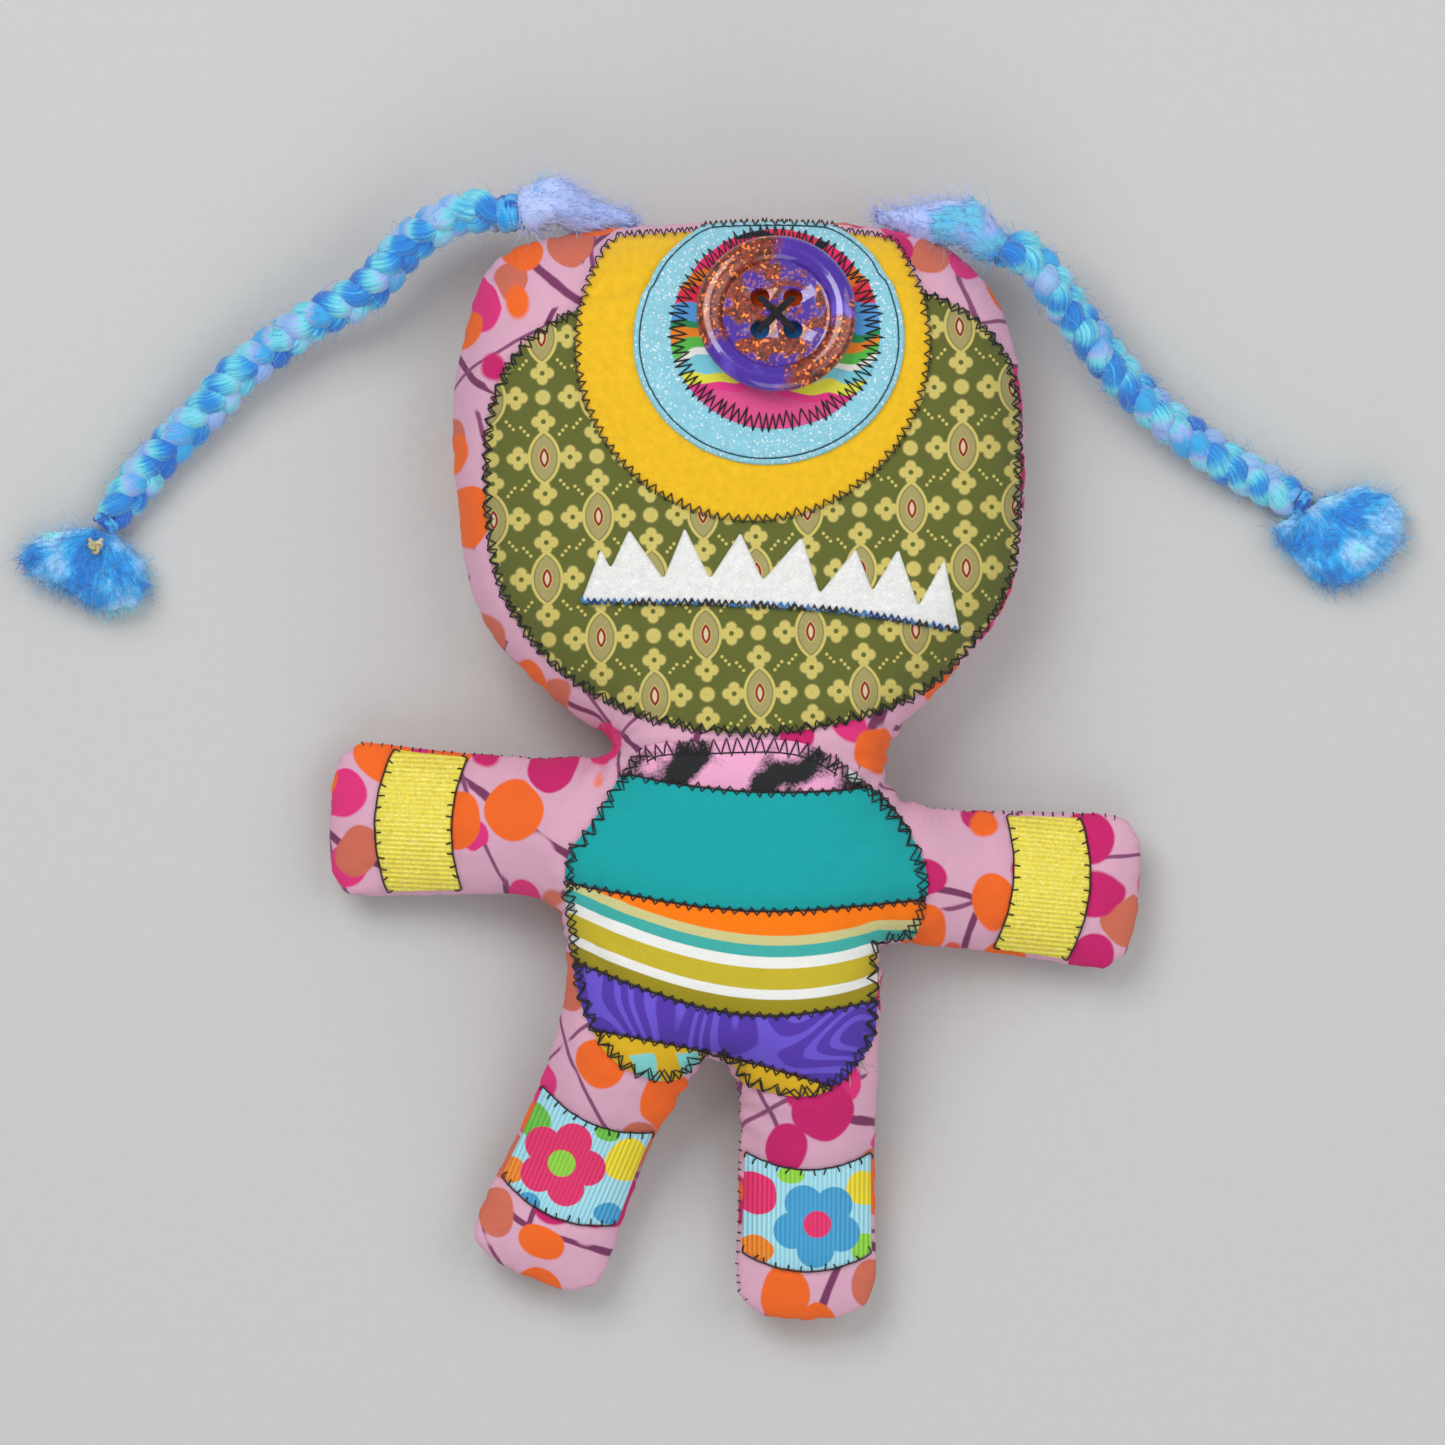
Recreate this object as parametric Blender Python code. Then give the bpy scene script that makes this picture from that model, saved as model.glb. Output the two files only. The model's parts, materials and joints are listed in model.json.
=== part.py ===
"""A hand-sewn one-eyed monster doll, lying on its back.

The body is one stuffed bag. Two panels cut to the same outline are inflated by solving a
membrane under pressure on each panel, and the back is pressed flat where it lies. Every
appliqué is a layer of cloth or felt that follows the body: a copy of the front's surface at
the layer's height, cut to the layer's own outline. X runs to the right as seen from above, Y to
the head, Z out of the face; left and right are as seen from above. Lengths are in metres.
"""

import math

import bmesh
import bpy
import numpy as np
from mathutils import Matrix, Vector
from mathutils.bvhtree import BVHTree
from mathutils.geometry import delaunay_2d_cdt

MM = 0.001

# Head: its axis starts in the middle of the neck
NECK_WIDTH = 66.5 * MM
HEAD_WIDTH = 143 * MM
HEAD_HEIGHT = 132.5 * MM
HEAD_LEAN = math.radians(3.0)
# share of the head's height, share of the way from neck width to full width
HEAD_SIDE = ((0.10, 0.37), (0.18, 0.65), (0.26, 0.85), (0.38, 0.96), (0.64, 1.0), (0.82, 0.88))
# share of the height, shares of the full half width at the left and the right corner
HEAD_CORNERS = ((0.93, 0.85, 0.76), (0.975, 0.72, 0.50), (0.997, 0.40, 0.14))

# Torso
TORSO_WIDTH = 80 * MM
TORSO_LENGTH = 77.5 * MM  # neck to crotch
TORSO_SHIFT = 8.0 * MM  # middle of the torso, to the left of the neck's middle

# Arms: each on an axis that starts inside the shoulder
ARM_WIDTH = 35.5 * MM
HAND_WIDTH = 39.5 * MM
LEFT_ARM_LENGTH = 63 * MM
LEFT_ARM_DROP = 20 * MM  # below the neck line
LEFT_ARM_ANGLE = math.radians(177.5)
RIGHT_ARM_LENGTH = 69 * MM
RIGHT_ARM_DROP = 30 * MM
RIGHT_ARM_ANGLE = math.radians(-5.5)
SHOULDER_INSET = 4 * MM  # from the torso's side to where an arm's axis starts

# Legs
LEFT_LEG_WIDTH = 32.5 * MM
RIGHT_LEG_WIDTH = 34.5 * MM
FOOT_WIDTH = 35.5 * MM
LEFT_LEG_LENGTH = 64 * MM
LEFT_LEG_ANGLE = math.radians(-113)
RIGHT_LEG_LENGTH = 69.5 * MM
RIGHT_LEG_ANGLE = math.radians(-90.5)
LEFT_HIP = 24.3 * MM  # from the torso's middle to each leg's axis
RIGHT_HIP = 21.5 * MM
CROTCH_GAP = 7.5 * MM

# Stuffing
FULLNESS = 28 * MM  # height that the fattest cushion nears, on each side of the seam
RIM_ROUND = 6 * MM  # how softly the panels leave the seam
SEAM_HEIGHT = 22 * MM  # seam above the ground at the head and torso
LIMB_SEAM_HEIGHT = 11 * MM  # the same at the hands and feet, which droop
DROOP_LENGTH = 40 * MM  # along a limb, to where it has drooped
LIMB_REACH = 23 * MM  # half width of the strip round a limb's axis that droops

# Cloth, felt and the seams between layers
CLEARANCE = 0.3 * MM
CLOTH = 0.6 * MM
FELT = 1.6 * MM
RIBBON = 0.6 * MM
SEAM_MARGIN = 1.6 * MM  # plain cloth between the seam and the ends of what is sewn on
FELT_MARGIN = 3.5 * MM  # the same at the thick felt on the head's top edge

# Face, in the head's own axes: sideways and up from the neck
FACE_SIDE = 4.5 * MM
FACE_UP = 59.6 * MM
FACE_WIDTH = 136 * MM
FACE_HEIGHT = 111.5 * MM
FACE_FULL_ABOVE = 3.3  # superellipse powers
FACE_FULL_BELOW = 2.1
TEETH_WIDTH = 93.5 * MM
TEETH_HEIGHT = 20.3 * MM
TEETH_SIDE = 5.3 * MM
TEETH_BELOW_FELT = 23.4 * MM  # from the yellow disc's lowest edge to the middle of the base
TEETH_SLOPE = math.radians(-7.0)
# points and notches by turns, then the base from right to left: shares of the width and height
TEETH_TOP = (
    (0.043, 0.67), (0.073, 0.44), (0.114, 0.93), (0.214, 0.355), (0.26, 1.0), (0.337, 0.395),
    (0.408, 0.99), (0.476, 0.42), (0.571, 0.995), (0.628, 0.31), (0.715, 0.89), (0.766, 0.39),
    (0.827, 0.93), (0.889, 0.25), (0.949, 0.84),
)
TEETH_BASE = ((1.0, 0.0), (0.85, 0.05), (0.66, 0.108), (0.476, 0.098), (0.315, 0.079), (0.0, 0.0))

# Eye, in the head's axes: sideways, and down from the head's top
YELLOW_DIAMETER = 87.5 * MM
YELLOW_AT = (4.6 * MM, 32.3 * MM)
BLUE_DIAMETER = 67 * MM
BLUE_AT = (8.6 * MM, 31.7 * MM)
EYE_PATCH_DIAMETER = 51.5 * MM
EYE_PATCH_AT = (10.2 * MM, 30.2 * MM)
HEAD_TOP_FALL = math.radians(23)  # tilt of the cloth round the eye, which shortens the discs

# Button
BUTTON_AT = (10.6 * MM, 26.9 * MM)
BUTTON_DIAMETER = 39.5 * MM
BUTTON_THICK = 5.2 * MM
BUTTON_DISH = 26.5 * MM
BUTTON_DISH_DEPTH = 2.1 * MM
BUTTON_BACK_ROUND = 1.4 * MM
BUTTON_FLAT_BACK = 0.6  # share of the radius
BUTTON_FOOT = 0.86  # share of the radius that rests on the cloth
HOLE_DIAMETER = 4.0 * MM
HOLE_SPACING = 8.2 * MM
THREAD_DIAMETER = 1.5 * MM

# Chest patches: one outline, cut across by four joins
CHEST_WIDTH = 89.5 * MM
CHEST_LENGTH = 88.5 * MM
CHEST_RISE = 2.1 * MM  # above the neck line
CHEST_SHIFT = 5.8 * MM  # from the torso's middle
# shares of the half width and of the length
CHEST_OUTLINE = (
    (-0.53, 0.01), (-0.24, 0.0), (0.27, 0.0), (0.55, 0.07), (0.82, 0.20), (1.0, 0.36),
    (0.97, 0.52), (0.81, 0.65), (0.73, 0.82), (0.51, 0.97), (0.26, 1.0), (-0.04, 0.96),
    (-0.17, 0.90), (-0.34, 0.94), (-0.46, 0.96), (-0.74, 0.90), (-0.91, 0.75),
    (-0.98, 0.54), (-1.0, 0.34), (-0.84, 0.22), (-0.66, 0.07),
)
# each join's drop below the outline's top, as shares of the length: left edge, middle, right edge
CHEST_JOINS = (
    (0.045, 0.141, 0.113), (0.379, 0.475, 0.435), (0.576, 0.768, 0.684), (0.78, 0.898, 1.096),
)
CROTCH_SHIFT = 2.0 * MM  # from the torso's middle, to the left

# Ribbon bands round the limbs
ARM_RIBBON = 19 * MM
LEFT_BAND_FROM_TIP = 12 * MM
RIGHT_BAND_FROM_TIP = 13 * MM
ARM_BAND_BOW = 4.5 * MM
LEG_RIBBON = 25.4 * MM
LEFT_LEG_BAND_FROM_TIP = 17 * MM
RIGHT_LEG_BAND_FROM_TIP = 12.5 * MM
LEG_BAND_BOW = 5.5 * MM

# Braids: the route of each from the head's seam to the tie, in millimetres from the neck
BRAID_DIAMETER = 10 * MM
LEFT_ROUTE = (
    (-64, 133.5, 23), (-73, 134.5, 22), (-86, 127, 19), (-98, 114.5, 15.5), (-114, 106, 12),
    (-129.5, 94.5, 9.5), (-139.5, 84, 7.6), (-152, 71.5, 6), (-162, 58.5, 5.4),
)
RIGHT_ROUTE = (
    (61.5, 125, 23), (69, 123, 22), (78.5, 111, 17.5), (89.5, 97, 13), (103, 83.5, 9.5),
    (117, 73.5, 7), (131, 65.5, 5.6), (136.5, 63, 5.4),
)
HANK_DIAMETER = 7.5 * MM
HANK_LEAD = 9.75 * MM  # straight run off the braid before it turns along the seam
LEFT_HANK_SHARE = 0.19  # of the head's width, from its axis to where the hank starts
RIGHT_HANK_SHARE = 0.29
HANK_STEP = 0.03  # between the points where it runs along the seam, as a share of the same
WRAP_DIAMETER = 8.25 * MM
WRAP_LENGTH = 5 * MM
TIE_DIAMETER = 6.6 * MM
TIE_LENGTH = 3.0 * MM
TUFT_NECK = 5.6 * MM
TUFT_HEIGHT = 10.5 * MM
LEFT_TUFT = (18 * MM, 31 * MM, math.radians(-108))  # length, width, direction
RIGHT_TUFT = (22 * MM, 35 * MM, math.radians(-46))
# share of the length, shares of the width and of the height that it has reached there
TUFT_SHAPE = ((0, 0, 0), (0.22, 0.72, 0.6), (0.5, 1.0, 1.0), (0.8, 0.9, 0.85), (1.0, 0.5, 0.4))
KNOT_DIAMETER = 4.4 * MM

# How finely the surfaces are divided
RIM_STEP = 7.2 * MM
FRONT_STEP = 7.8 * MM
BACK_STEP = 12 * MM
FRONT_RINGS = (1.4 * MM, 4.2 * MM)
BACK_RINGS = (2.2 * MM,)

COLOURS = {
    "stuffed_body": ((0.72, 0.40, 0.52), 0.9),
    "face_panel": ((0.130, 0.145, 0.040), 0.9),
    "eye_felt_yellow": ((0.84, 0.48, 0.02), 0.95),
    "eye_felt_blue": ((0.32, 0.65, 0.76), 0.95),
    "eye_patch": ((0.62, 0.16, 0.26), 0.9),
    "eye_button": ((0.22, 0.06, 0.42), 0.12),
    "button_thread": ((0.01, 0.01, 0.012), 0.8),
    "teeth_strip": ((0.86, 0.86, 0.84), 0.95),
    "chest_patch_pink": ((0.66, 0.06, 0.20), 0.9),
    "chest_patch_teal": ((0.02, 0.38, 0.38), 0.9),
    "chest_patch_striped": ((0.88, 0.24, 0.02), 0.9),
    "chest_patch_purple": ((0.10, 0.05, 0.45), 0.9),
    "chest_patch_yellow_left": ((0.66, 0.42, 0.05), 0.9),
    "chest_patch_yellow_right": ((0.66, 0.42, 0.05), 0.9),
    "arm_band_left": ((0.76, 0.60, 0.06), 0.6),
    "arm_band_right": ((0.76, 0.60, 0.06), 0.6),
    "leg_band_left": ((0.40, 0.72, 0.84), 0.6),
    "leg_band_right": ((0.40, 0.72, 0.84), 0.6),
    "braid_left": ((0.08, 0.28, 0.70), 0.95),
    "braid_right": ((0.08, 0.28, 0.70), 0.95),
    "hank_left": ((0.30, 0.38, 0.72), 0.95),
    "hank_right": ((0.30, 0.38, 0.72), 0.95),
    "hank_wrap_left": ((0.03, 0.30, 0.76), 0.95),
    "tie_left": ((0.08, 0.22, 0.60), 0.9),
    "tie_right": ((0.08, 0.22, 0.60), 0.9),
    "tuft_left": ((0.10, 0.34, 0.74), 0.95),
    "tuft_right": ((0.10, 0.34, 0.74), 0.95),
    "knot_left": ((0.80, 0.76, 0.62), 0.9),
}


def clear_scene():
    for ob in list(bpy.data.objects):
        bpy.data.objects.remove(ob, do_unlink=True)


def finish(ob):
    """Gives a piece the material of its name and smooth shading."""
    colour, rough = COLOURS[ob.name]
    mat = bpy.data.materials.new(ob.name)
    mat.use_nodes = True
    shader = mat.node_tree.nodes["Principled BSDF"]
    shader.inputs["Base Color"].default_value = (*colour, 1.0)
    shader.inputs["Roughness"].default_value = rough
    shader.inputs["Metallic"].default_value = 0.0
    ob.data.materials.append(mat)
    if ob.type == "MESH":
        ob.data.shade_smooth()
        ob.data.set_sharp_from_angle(angle=math.radians(40))
    return ob


def place(name, mesh):
    ob = bpy.data.objects.new(name, mesh)
    bpy.context.scene.collection.objects.link(ob)
    return ob


def mesh_object(name, verts, faces):
    mesh = bpy.data.meshes.new(name)
    mesh.from_pydata([tuple(v) for v in verts], [], [tuple(f) for f in faces])
    mesh.update()
    return place(name, mesh)


def smooth_curve(points, step, closed):
    """Points at even steps along the curve through the given points."""
    pts = np.array(points, float)
    n = len(pts)
    dense = []
    for i in range(n if closed else n - 1):
        if closed:
            a, b, c, d = (pts[(i + k) % n] for k in (-1, 0, 1, 2))
        else:
            b, c = pts[i], pts[i + 1]
            a = pts[i - 1] if i else 2 * b - c
            d = pts[i + 2] if i + 2 < n else 2 * c - b
        for t in np.arange(16) / 16:
            dense.append(
                0.5 * (2 * b + (c - a) * t + (2 * a - 5 * b + 4 * c - d) * t**2
                       + (3 * b - a - 3 * c + d) * t**3)
            )
    dense.append(dense[0] if closed else pts[-1])
    dense = np.array(dense)
    along = np.concatenate(([0], np.cumsum(np.linalg.norm(np.diff(dense, axis=0), axis=1))))
    count = max(3, round(along[-1] / step))
    at = np.linspace(0, along[-1], count + 1)
    even = np.stack([np.interp(at, along, dense[:, k]) for k in range(pts.shape[1])], axis=1)
    return even[:-1] if closed else even


class Frame2D:
    """A piece's own axes in the plane of the pattern."""

    def __init__(self, origin, angle):
        self.origin = np.array(origin, float)
        self.along = np.array((math.cos(angle), math.sin(angle)))
        self.across = np.array((-self.along[1], self.along[0]))

    def point(self, along, across):
        return self.origin + along * self.along + across * self.across

    def local(self, xy):
        offset = np.asarray(xy) - self.origin
        return offset @ self.along, offset @ self.across


def pattern_frames():
    """The axes of the head and the limbs, with the neck's middle at the origin."""
    torso_x = -TORSO_SHIFT
    shoulder = TORSO_WIDTH / 2 - SHOULDER_INSET
    hip = -TORSO_LENGTH + CROTCH_GAP / 2
    return {
        "head": Frame2D((0, 0), math.pi / 2 + HEAD_LEAN),
        "torso": Frame2D((torso_x, 0), math.pi / 2),
        "left_arm": Frame2D((torso_x - shoulder, -LEFT_ARM_DROP), LEFT_ARM_ANGLE),
        "right_arm": Frame2D((torso_x + shoulder, -RIGHT_ARM_DROP), RIGHT_ARM_ANGLE),
        "left_leg": Frame2D((torso_x - LEFT_HIP, hip), LEFT_LEG_ANGLE),
        "right_leg": Frame2D((torso_x + RIGHT_HIP, hip), RIGHT_LEG_ANGLE),
    }


def limb_side(frame, length, width, end_width, from_share):
    """A limb's outline from its right side, round the blunt end, back up its left side."""
    half, end = width / 2, end_width / 2
    right = [(s * length, -(half + (end - half) * max(0, s - 0.4) / 0.5)) for s in (from_share, 0.62)]
    tip = [(0.89, -1.0), (0.97, -0.8), (1.0, -0.4), (1.0, 0.4), (0.97, 0.8), (0.89, 1.0)]
    around = [(s * length, a * end) for s, a in tip]
    left = [(s, -a) for s, a in reversed(right)]
    return [frame.point(s, a) for s, a in right + around + left]


def body_outline(frames):
    """The seam line of the whole doll, anticlockwise from the right side of the neck."""
    neck, full = NECK_WIDTH / 2, HEAD_WIDTH / 2
    side = [(up, neck + (full - neck) * share) for up, share in HEAD_SIDE]
    right = side + [(up, full * share) for up, _, share in HEAD_CORNERS]
    left = side + [(up, full * share) for up, share, _ in HEAD_CORNERS]
    head = [frames["head"].point(up * HEAD_HEIGHT, -half) for up, half in right]
    head += [frames["head"].point(up * HEAD_HEIGHT, half) for up, half in reversed(left)]
    torso_x = -TORSO_SHIFT
    crotch_x = torso_x - CROTCH_SHIFT
    crotch = [
        (crotch_x - CROTCH_GAP / 2, -TORSO_LENGTH - CROTCH_GAP / 4),
        (crotch_x, -TORSO_LENGTH + CROTCH_GAP / 6),
        (crotch_x + CROTCH_GAP / 2, -TORSO_LENGTH - CROTCH_GAP / 4),
    ]
    waist = TORSO_WIDTH / 2
    left_side = [(torso_x - waist, -0.58 * TORSO_LENGTH), (torso_x - waist, -0.82 * TORSO_LENGTH)]
    right_side = [(torso_x + waist, -0.82 * TORSO_LENGTH), (torso_x + waist, -0.66 * TORSO_LENGTH)]
    points = [(neck, 0.0)] + head + [(-neck, 0.0)]
    points += limb_side(frames["left_arm"], LEFT_ARM_LENGTH, ARM_WIDTH, HAND_WIDTH, 0.14)
    points += left_side
    points += limb_side(frames["left_leg"], LEFT_LEG_LENGTH, LEFT_LEG_WIDTH, FOOT_WIDTH, 0.30)
    points += crotch
    points += limb_side(frames["right_leg"], RIGHT_LEG_LENGTH, RIGHT_LEG_WIDTH, FOOT_WIDTH, 0.22)
    points += right_side
    points += limb_side(frames["right_arm"], RIGHT_ARM_LENGTH, ARM_WIDTH, HAND_WIDTH, 0.12)
    return smooth_curve(points, RIM_STEP, True)


def distance_inside(points, outline):
    """Distance of each point to the outline, negative outside it."""
    p = np.atleast_2d(points)[:, None, :]
    a, b = outline[None], np.roll(outline, -1, axis=0)[None]
    edge = b - a
    t = np.clip(((p - a) * edge).sum(2) / (edge**2).sum(2), 0, 1)
    near = np.linalg.norm(p - a - t[..., None] * edge, axis=2).min(1)
    y = p[..., 1]
    crosses = (a[..., 1] > y) != (b[..., 1] > y)
    rise = np.where(edge[..., 1] == 0, 1, edge[..., 1])
    x_at = a[..., 0] + (y - a[..., 1]) / rise * edge[..., 0]
    odd = (crosses & (p[..., 0] < x_at)).sum(1) % 2 == 1
    return np.where(odd, near, -near)


def inset_outline(outline, distance):
    """The outline moved inward, without the points that a tight corner would fold over."""
    ahead, behind = np.roll(outline, -1, axis=0), np.roll(outline, 1, axis=0)
    run = ahead - behind
    inward = np.stack((-run[:, 1], run[:, 0]), axis=1) / np.linalg.norm(run, axis=1)[:, None]
    moved = outline + inward * distance
    return moved[distance_inside(moved, outline) > 0.93 * distance]


def triangulate(outline, rings, step):
    """Triangles over the outline: rings of points that follow the rim, then an even lattice."""
    loops = [inset_outline(outline, d) for d in rings]
    low, high = outline.min(0), outline.max(0)
    rows = np.arange(low[1], high[1], step * math.sqrt(3) / 2)
    lattice = [
        (x, y)
        for k, y in enumerate(rows)
        for x in np.arange(low[0] + (k % 2) * step / 2, high[0], step)
    ]
    lattice = np.array(lattice)
    lattice = lattice[distance_inside(lattice, outline) > rings[-1] + 0.6 * step]
    points = np.concatenate([outline, *loops, lattice])
    n = len(outline)
    rim = [(i, (i + 1) % n) for i in range(n)]
    made = delaunay_2d_cdt([Vector(p) for p in points], rim, [], 1, 1e-7)
    verts = np.array([tuple(v) for v in made[0]])
    return verts, np.array(made[2]), n


def inflate(verts, faces, rim_count):
    """Height of each vertex: a membrane held at the rim, under even pressure, then filled out."""
    n = len(verts)
    stiff, load = np.zeros((n, n)), np.zeros(n)
    p = verts[faces]
    for k in range(3):
        i, j = faces[:, (k + 1) % 3], faces[:, (k + 2) % 3]
        u, v = p[:, (k + 1) % 3] - p[:, k], p[:, (k + 2) % 3] - p[:, k]
        cross = np.abs(u[:, 0] * v[:, 1] - u[:, 1] * v[:, 0])
        weight = 0.5 * (u * v).sum(1) / cross
        np.add.at(stiff, (i, j), -weight)
        np.add.at(stiff, (j, i), -weight)
        np.add.at(stiff, (i, i), weight)
        np.add.at(stiff, (j, j), weight)
        np.add.at(load, faces[:, k], cross / 6)
    free = np.arange(rim_count, n)
    bulge = np.zeros(n)
    bulge[free] = np.linalg.solve(stiff[np.ix_(free, free)], load[free])
    round_height = np.sqrt(2 * np.maximum(bulge, 0) + RIM_ROUND**2) - RIM_ROUND
    return FULLNESS * np.tanh(round_height / FULLNESS)


def seam_height(points, frames):
    """The seam's height above the ground, lower along the limbs."""
    droop = np.zeros(len(points))
    for name in ("left_arm", "right_arm", "left_leg", "right_leg"):
        along, across = frames[name].local(points)
        t = np.clip(along / DROOP_LENGTH, 0, 1)
        near = np.clip((1.45 * LIMB_REACH - np.abs(across)) / (0.45 * LIMB_REACH), 0, 1)
        droop = np.maximum(droop, (3 * t**2 - 2 * t**3) * near)
    return SEAM_HEIGHT + (LIMB_SEAM_HEIGHT - SEAM_HEIGHT) * droop


def stuffed_body(outline, frames):
    """The bag, and its front panel alone as points and triangles."""
    front, front_faces, n = triangulate(outline, FRONT_RINGS, FRONT_STEP)
    back, back_faces, _ = triangulate(outline, BACK_RINGS, BACK_STEP)
    front_z = seam_height(front, frames) + inflate(front, front_faces, n)
    back_z = np.maximum(0, seam_height(back, frames) - inflate(back, back_faces, n))
    front = np.column_stack((front, front_z))
    back = np.column_stack((back, back_z))
    below = back_faces[:, ::-1].copy()
    below[below >= n] += len(front) - n
    verts = np.concatenate((front, back[n:]))
    mesh_object("stuffed_body", verts, np.concatenate((front_faces, below)))
    return front, front_faces


class Front:
    """The body's front panel, to lay layers on and to find places on."""

    def __init__(self, verts, faces):
        self.verts, self.faces = verts, faces
        normals = np.zeros_like(verts)
        a, b, c = (verts[faces[:, k]] for k in range(3))
        face_normals = np.cross(b - a, c - a)
        for k in range(3):
            np.add.at(normals, faces[:, k], face_normals)
        self.normals = normals / np.linalg.norm(normals, axis=1)[:, None]
        self.tree = BVHTree.FromPolygons([tuple(v) for v in verts], [tuple(f) for f in faces])

    def spot(self, xy):
        """The surface's place and its normal at a point of the pattern."""
        place, _, face, _ = self.tree.ray_cast(Vector((xy[0], xy[1], 1.0)), Vector((0, 0, -1)))
        corners = self.faces[face]
        gaps = [max(1e-9, np.linalg.norm(self.verts[c] - np.array(place))) for c in corners]
        normal = sum(self.normals[c] / g for c, g in zip(corners, gaps))
        return np.array(place), Vector(normal).normalized()

    def layer(self, name, cut, height, thick, cutters):
        """A layer of cloth at a height over the body, cut by upright walls."""
        low, high = cut.min(0) - 3 * FRONT_STEP, cut.max(0) + 3 * FRONT_STEP
        flat = self.verts[:, :2]
        inside = ((flat > low) & (flat < high)).all(1)
        faces = self.faces[inside[self.faces].all(1)]
        used = np.unique(faces)
        index = np.full(len(self.verts), -1)
        index[used] = np.arange(len(used))
        verts = self.verts[used] + self.normals[used] * height
        ob = mesh_object(name, verts, index[faces])
        solid = ob.modifiers.new("thickness", "SOLIDIFY")
        solid.thickness = thick
        solid.offset = 1
        for cutter in cutters:
            cutting = ob.modifiers.new("cut", "BOOLEAN")
            cutting.operation = "INTERSECT"
            cutting.solver = "EXACT"
            cutting.object = cutter
        return finish(ob)


def upright_walls(name, points):
    """A hidden cutter: the outline as an upright prism through the whole doll."""
    bm = bmesh.new()
    ring = [bm.verts.new((x, y, -SEAM_HEIGHT)) for x, y in points]
    face = bm.faces.new(ring)
    if face.normal.z > 0:
        face.normal_flip()
    raised = bmesh.ops.extrude_face_region(bm, geom=[face])
    top = [v for v in raised["geom"] if isinstance(v, bmesh.types.BMVert)]
    bmesh.ops.translate(bm, vec=(0, 0, 4 * SEAM_HEIGHT + 2 * FULLNESS), verts=top)
    bmesh.ops.recalc_face_normals(bm, faces=bm.faces)
    mesh = bpy.data.meshes.new(name)
    bm.to_mesh(mesh)
    bm.free()
    ob = place(name, mesh)
    ob.hide_render = True
    ob.display_type = "WIRE"
    return ob


def ellipse(frame, centre, width, height, power_above=2.0, power_below=2.0, steps=48):
    """A superellipse in the head's axes, with its own power above and below its middle."""
    points = []
    for k in range(steps):
        c, s = math.cos(2 * math.pi * k / steps), math.sin(2 * math.pi * k / steps)
        power = power_above if s > 0 else power_below
        side = math.copysign(abs(c) ** (2 / power), c) * width / 2
        up = math.copysign(abs(s) ** (2 / power), s) * height / 2
        points.append(frame.point(centre[1] + up, -(centre[0] + side)))
    return np.array(points)


def below_top(place):
    """A place given down from the head's top, as sideways and up from the neck."""
    return place[0], HEAD_HEIGHT - place[1]


def face_pieces(front, head, seam_cut, felt_cut):
    """The cloth panel, the toothed strip and the discs under the eye."""
    on_body, on_panel = CLEARANCE, 2 * CLEARANCE + CLOTH
    panel = ellipse(head, (FACE_SIDE, FACE_UP), FACE_WIDTH, FACE_HEIGHT, FACE_FULL_ABOVE, FACE_FULL_BELOW)
    front.layer("face_panel", panel, on_body, CLOTH, [upright_walls("panel_cut", panel), seam_cut])
    teeth = teeth_outline(head)
    front.layer("teeth_strip", teeth, on_panel, FELT, [upright_walls("teeth_cut", teeth), seam_cut])
    short = math.cos(HEAD_TOP_FALL)
    on_yellow = on_panel + FELT + CLEARANCE
    on_blue = on_yellow + FELT + CLEARANCE
    discs = (
        ("eye_felt_yellow", YELLOW_AT, YELLOW_DIAMETER, 1.0, on_panel, FELT),
        ("eye_felt_blue", BLUE_AT, BLUE_DIAMETER, short, on_yellow, FELT),
        ("eye_patch", EYE_PATCH_AT, EYE_PATCH_DIAMETER, short, on_blue, CLOTH),
    )
    for name, centre, diameter, squeeze, height, thick in discs:
        edge = ellipse(head, below_top(centre), diameter, diameter * squeeze)
        front.layer(name, edge, height, thick, [upright_walls(name + "_cut", edge), felt_cut])
    return on_blue + CLOTH


def teeth_outline(head):
    """Points of uneven width and height on a bowed base."""
    base_up = below_top(YELLOW_AT)[1] - YELLOW_DIAMETER / 2 - TEETH_BELOW_FELT
    slope = Frame2D(head.point(base_up, -TEETH_SIDE), math.atan2(*head.along[::-1]) + TEETH_SLOPE)
    points = [
        slope.point(rise * TEETH_HEIGHT, (0.5 - share) * TEETH_WIDTH)
        for share, rise in TEETH_TOP + TEETH_BASE
    ]
    return np.array(points[::-1])


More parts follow.
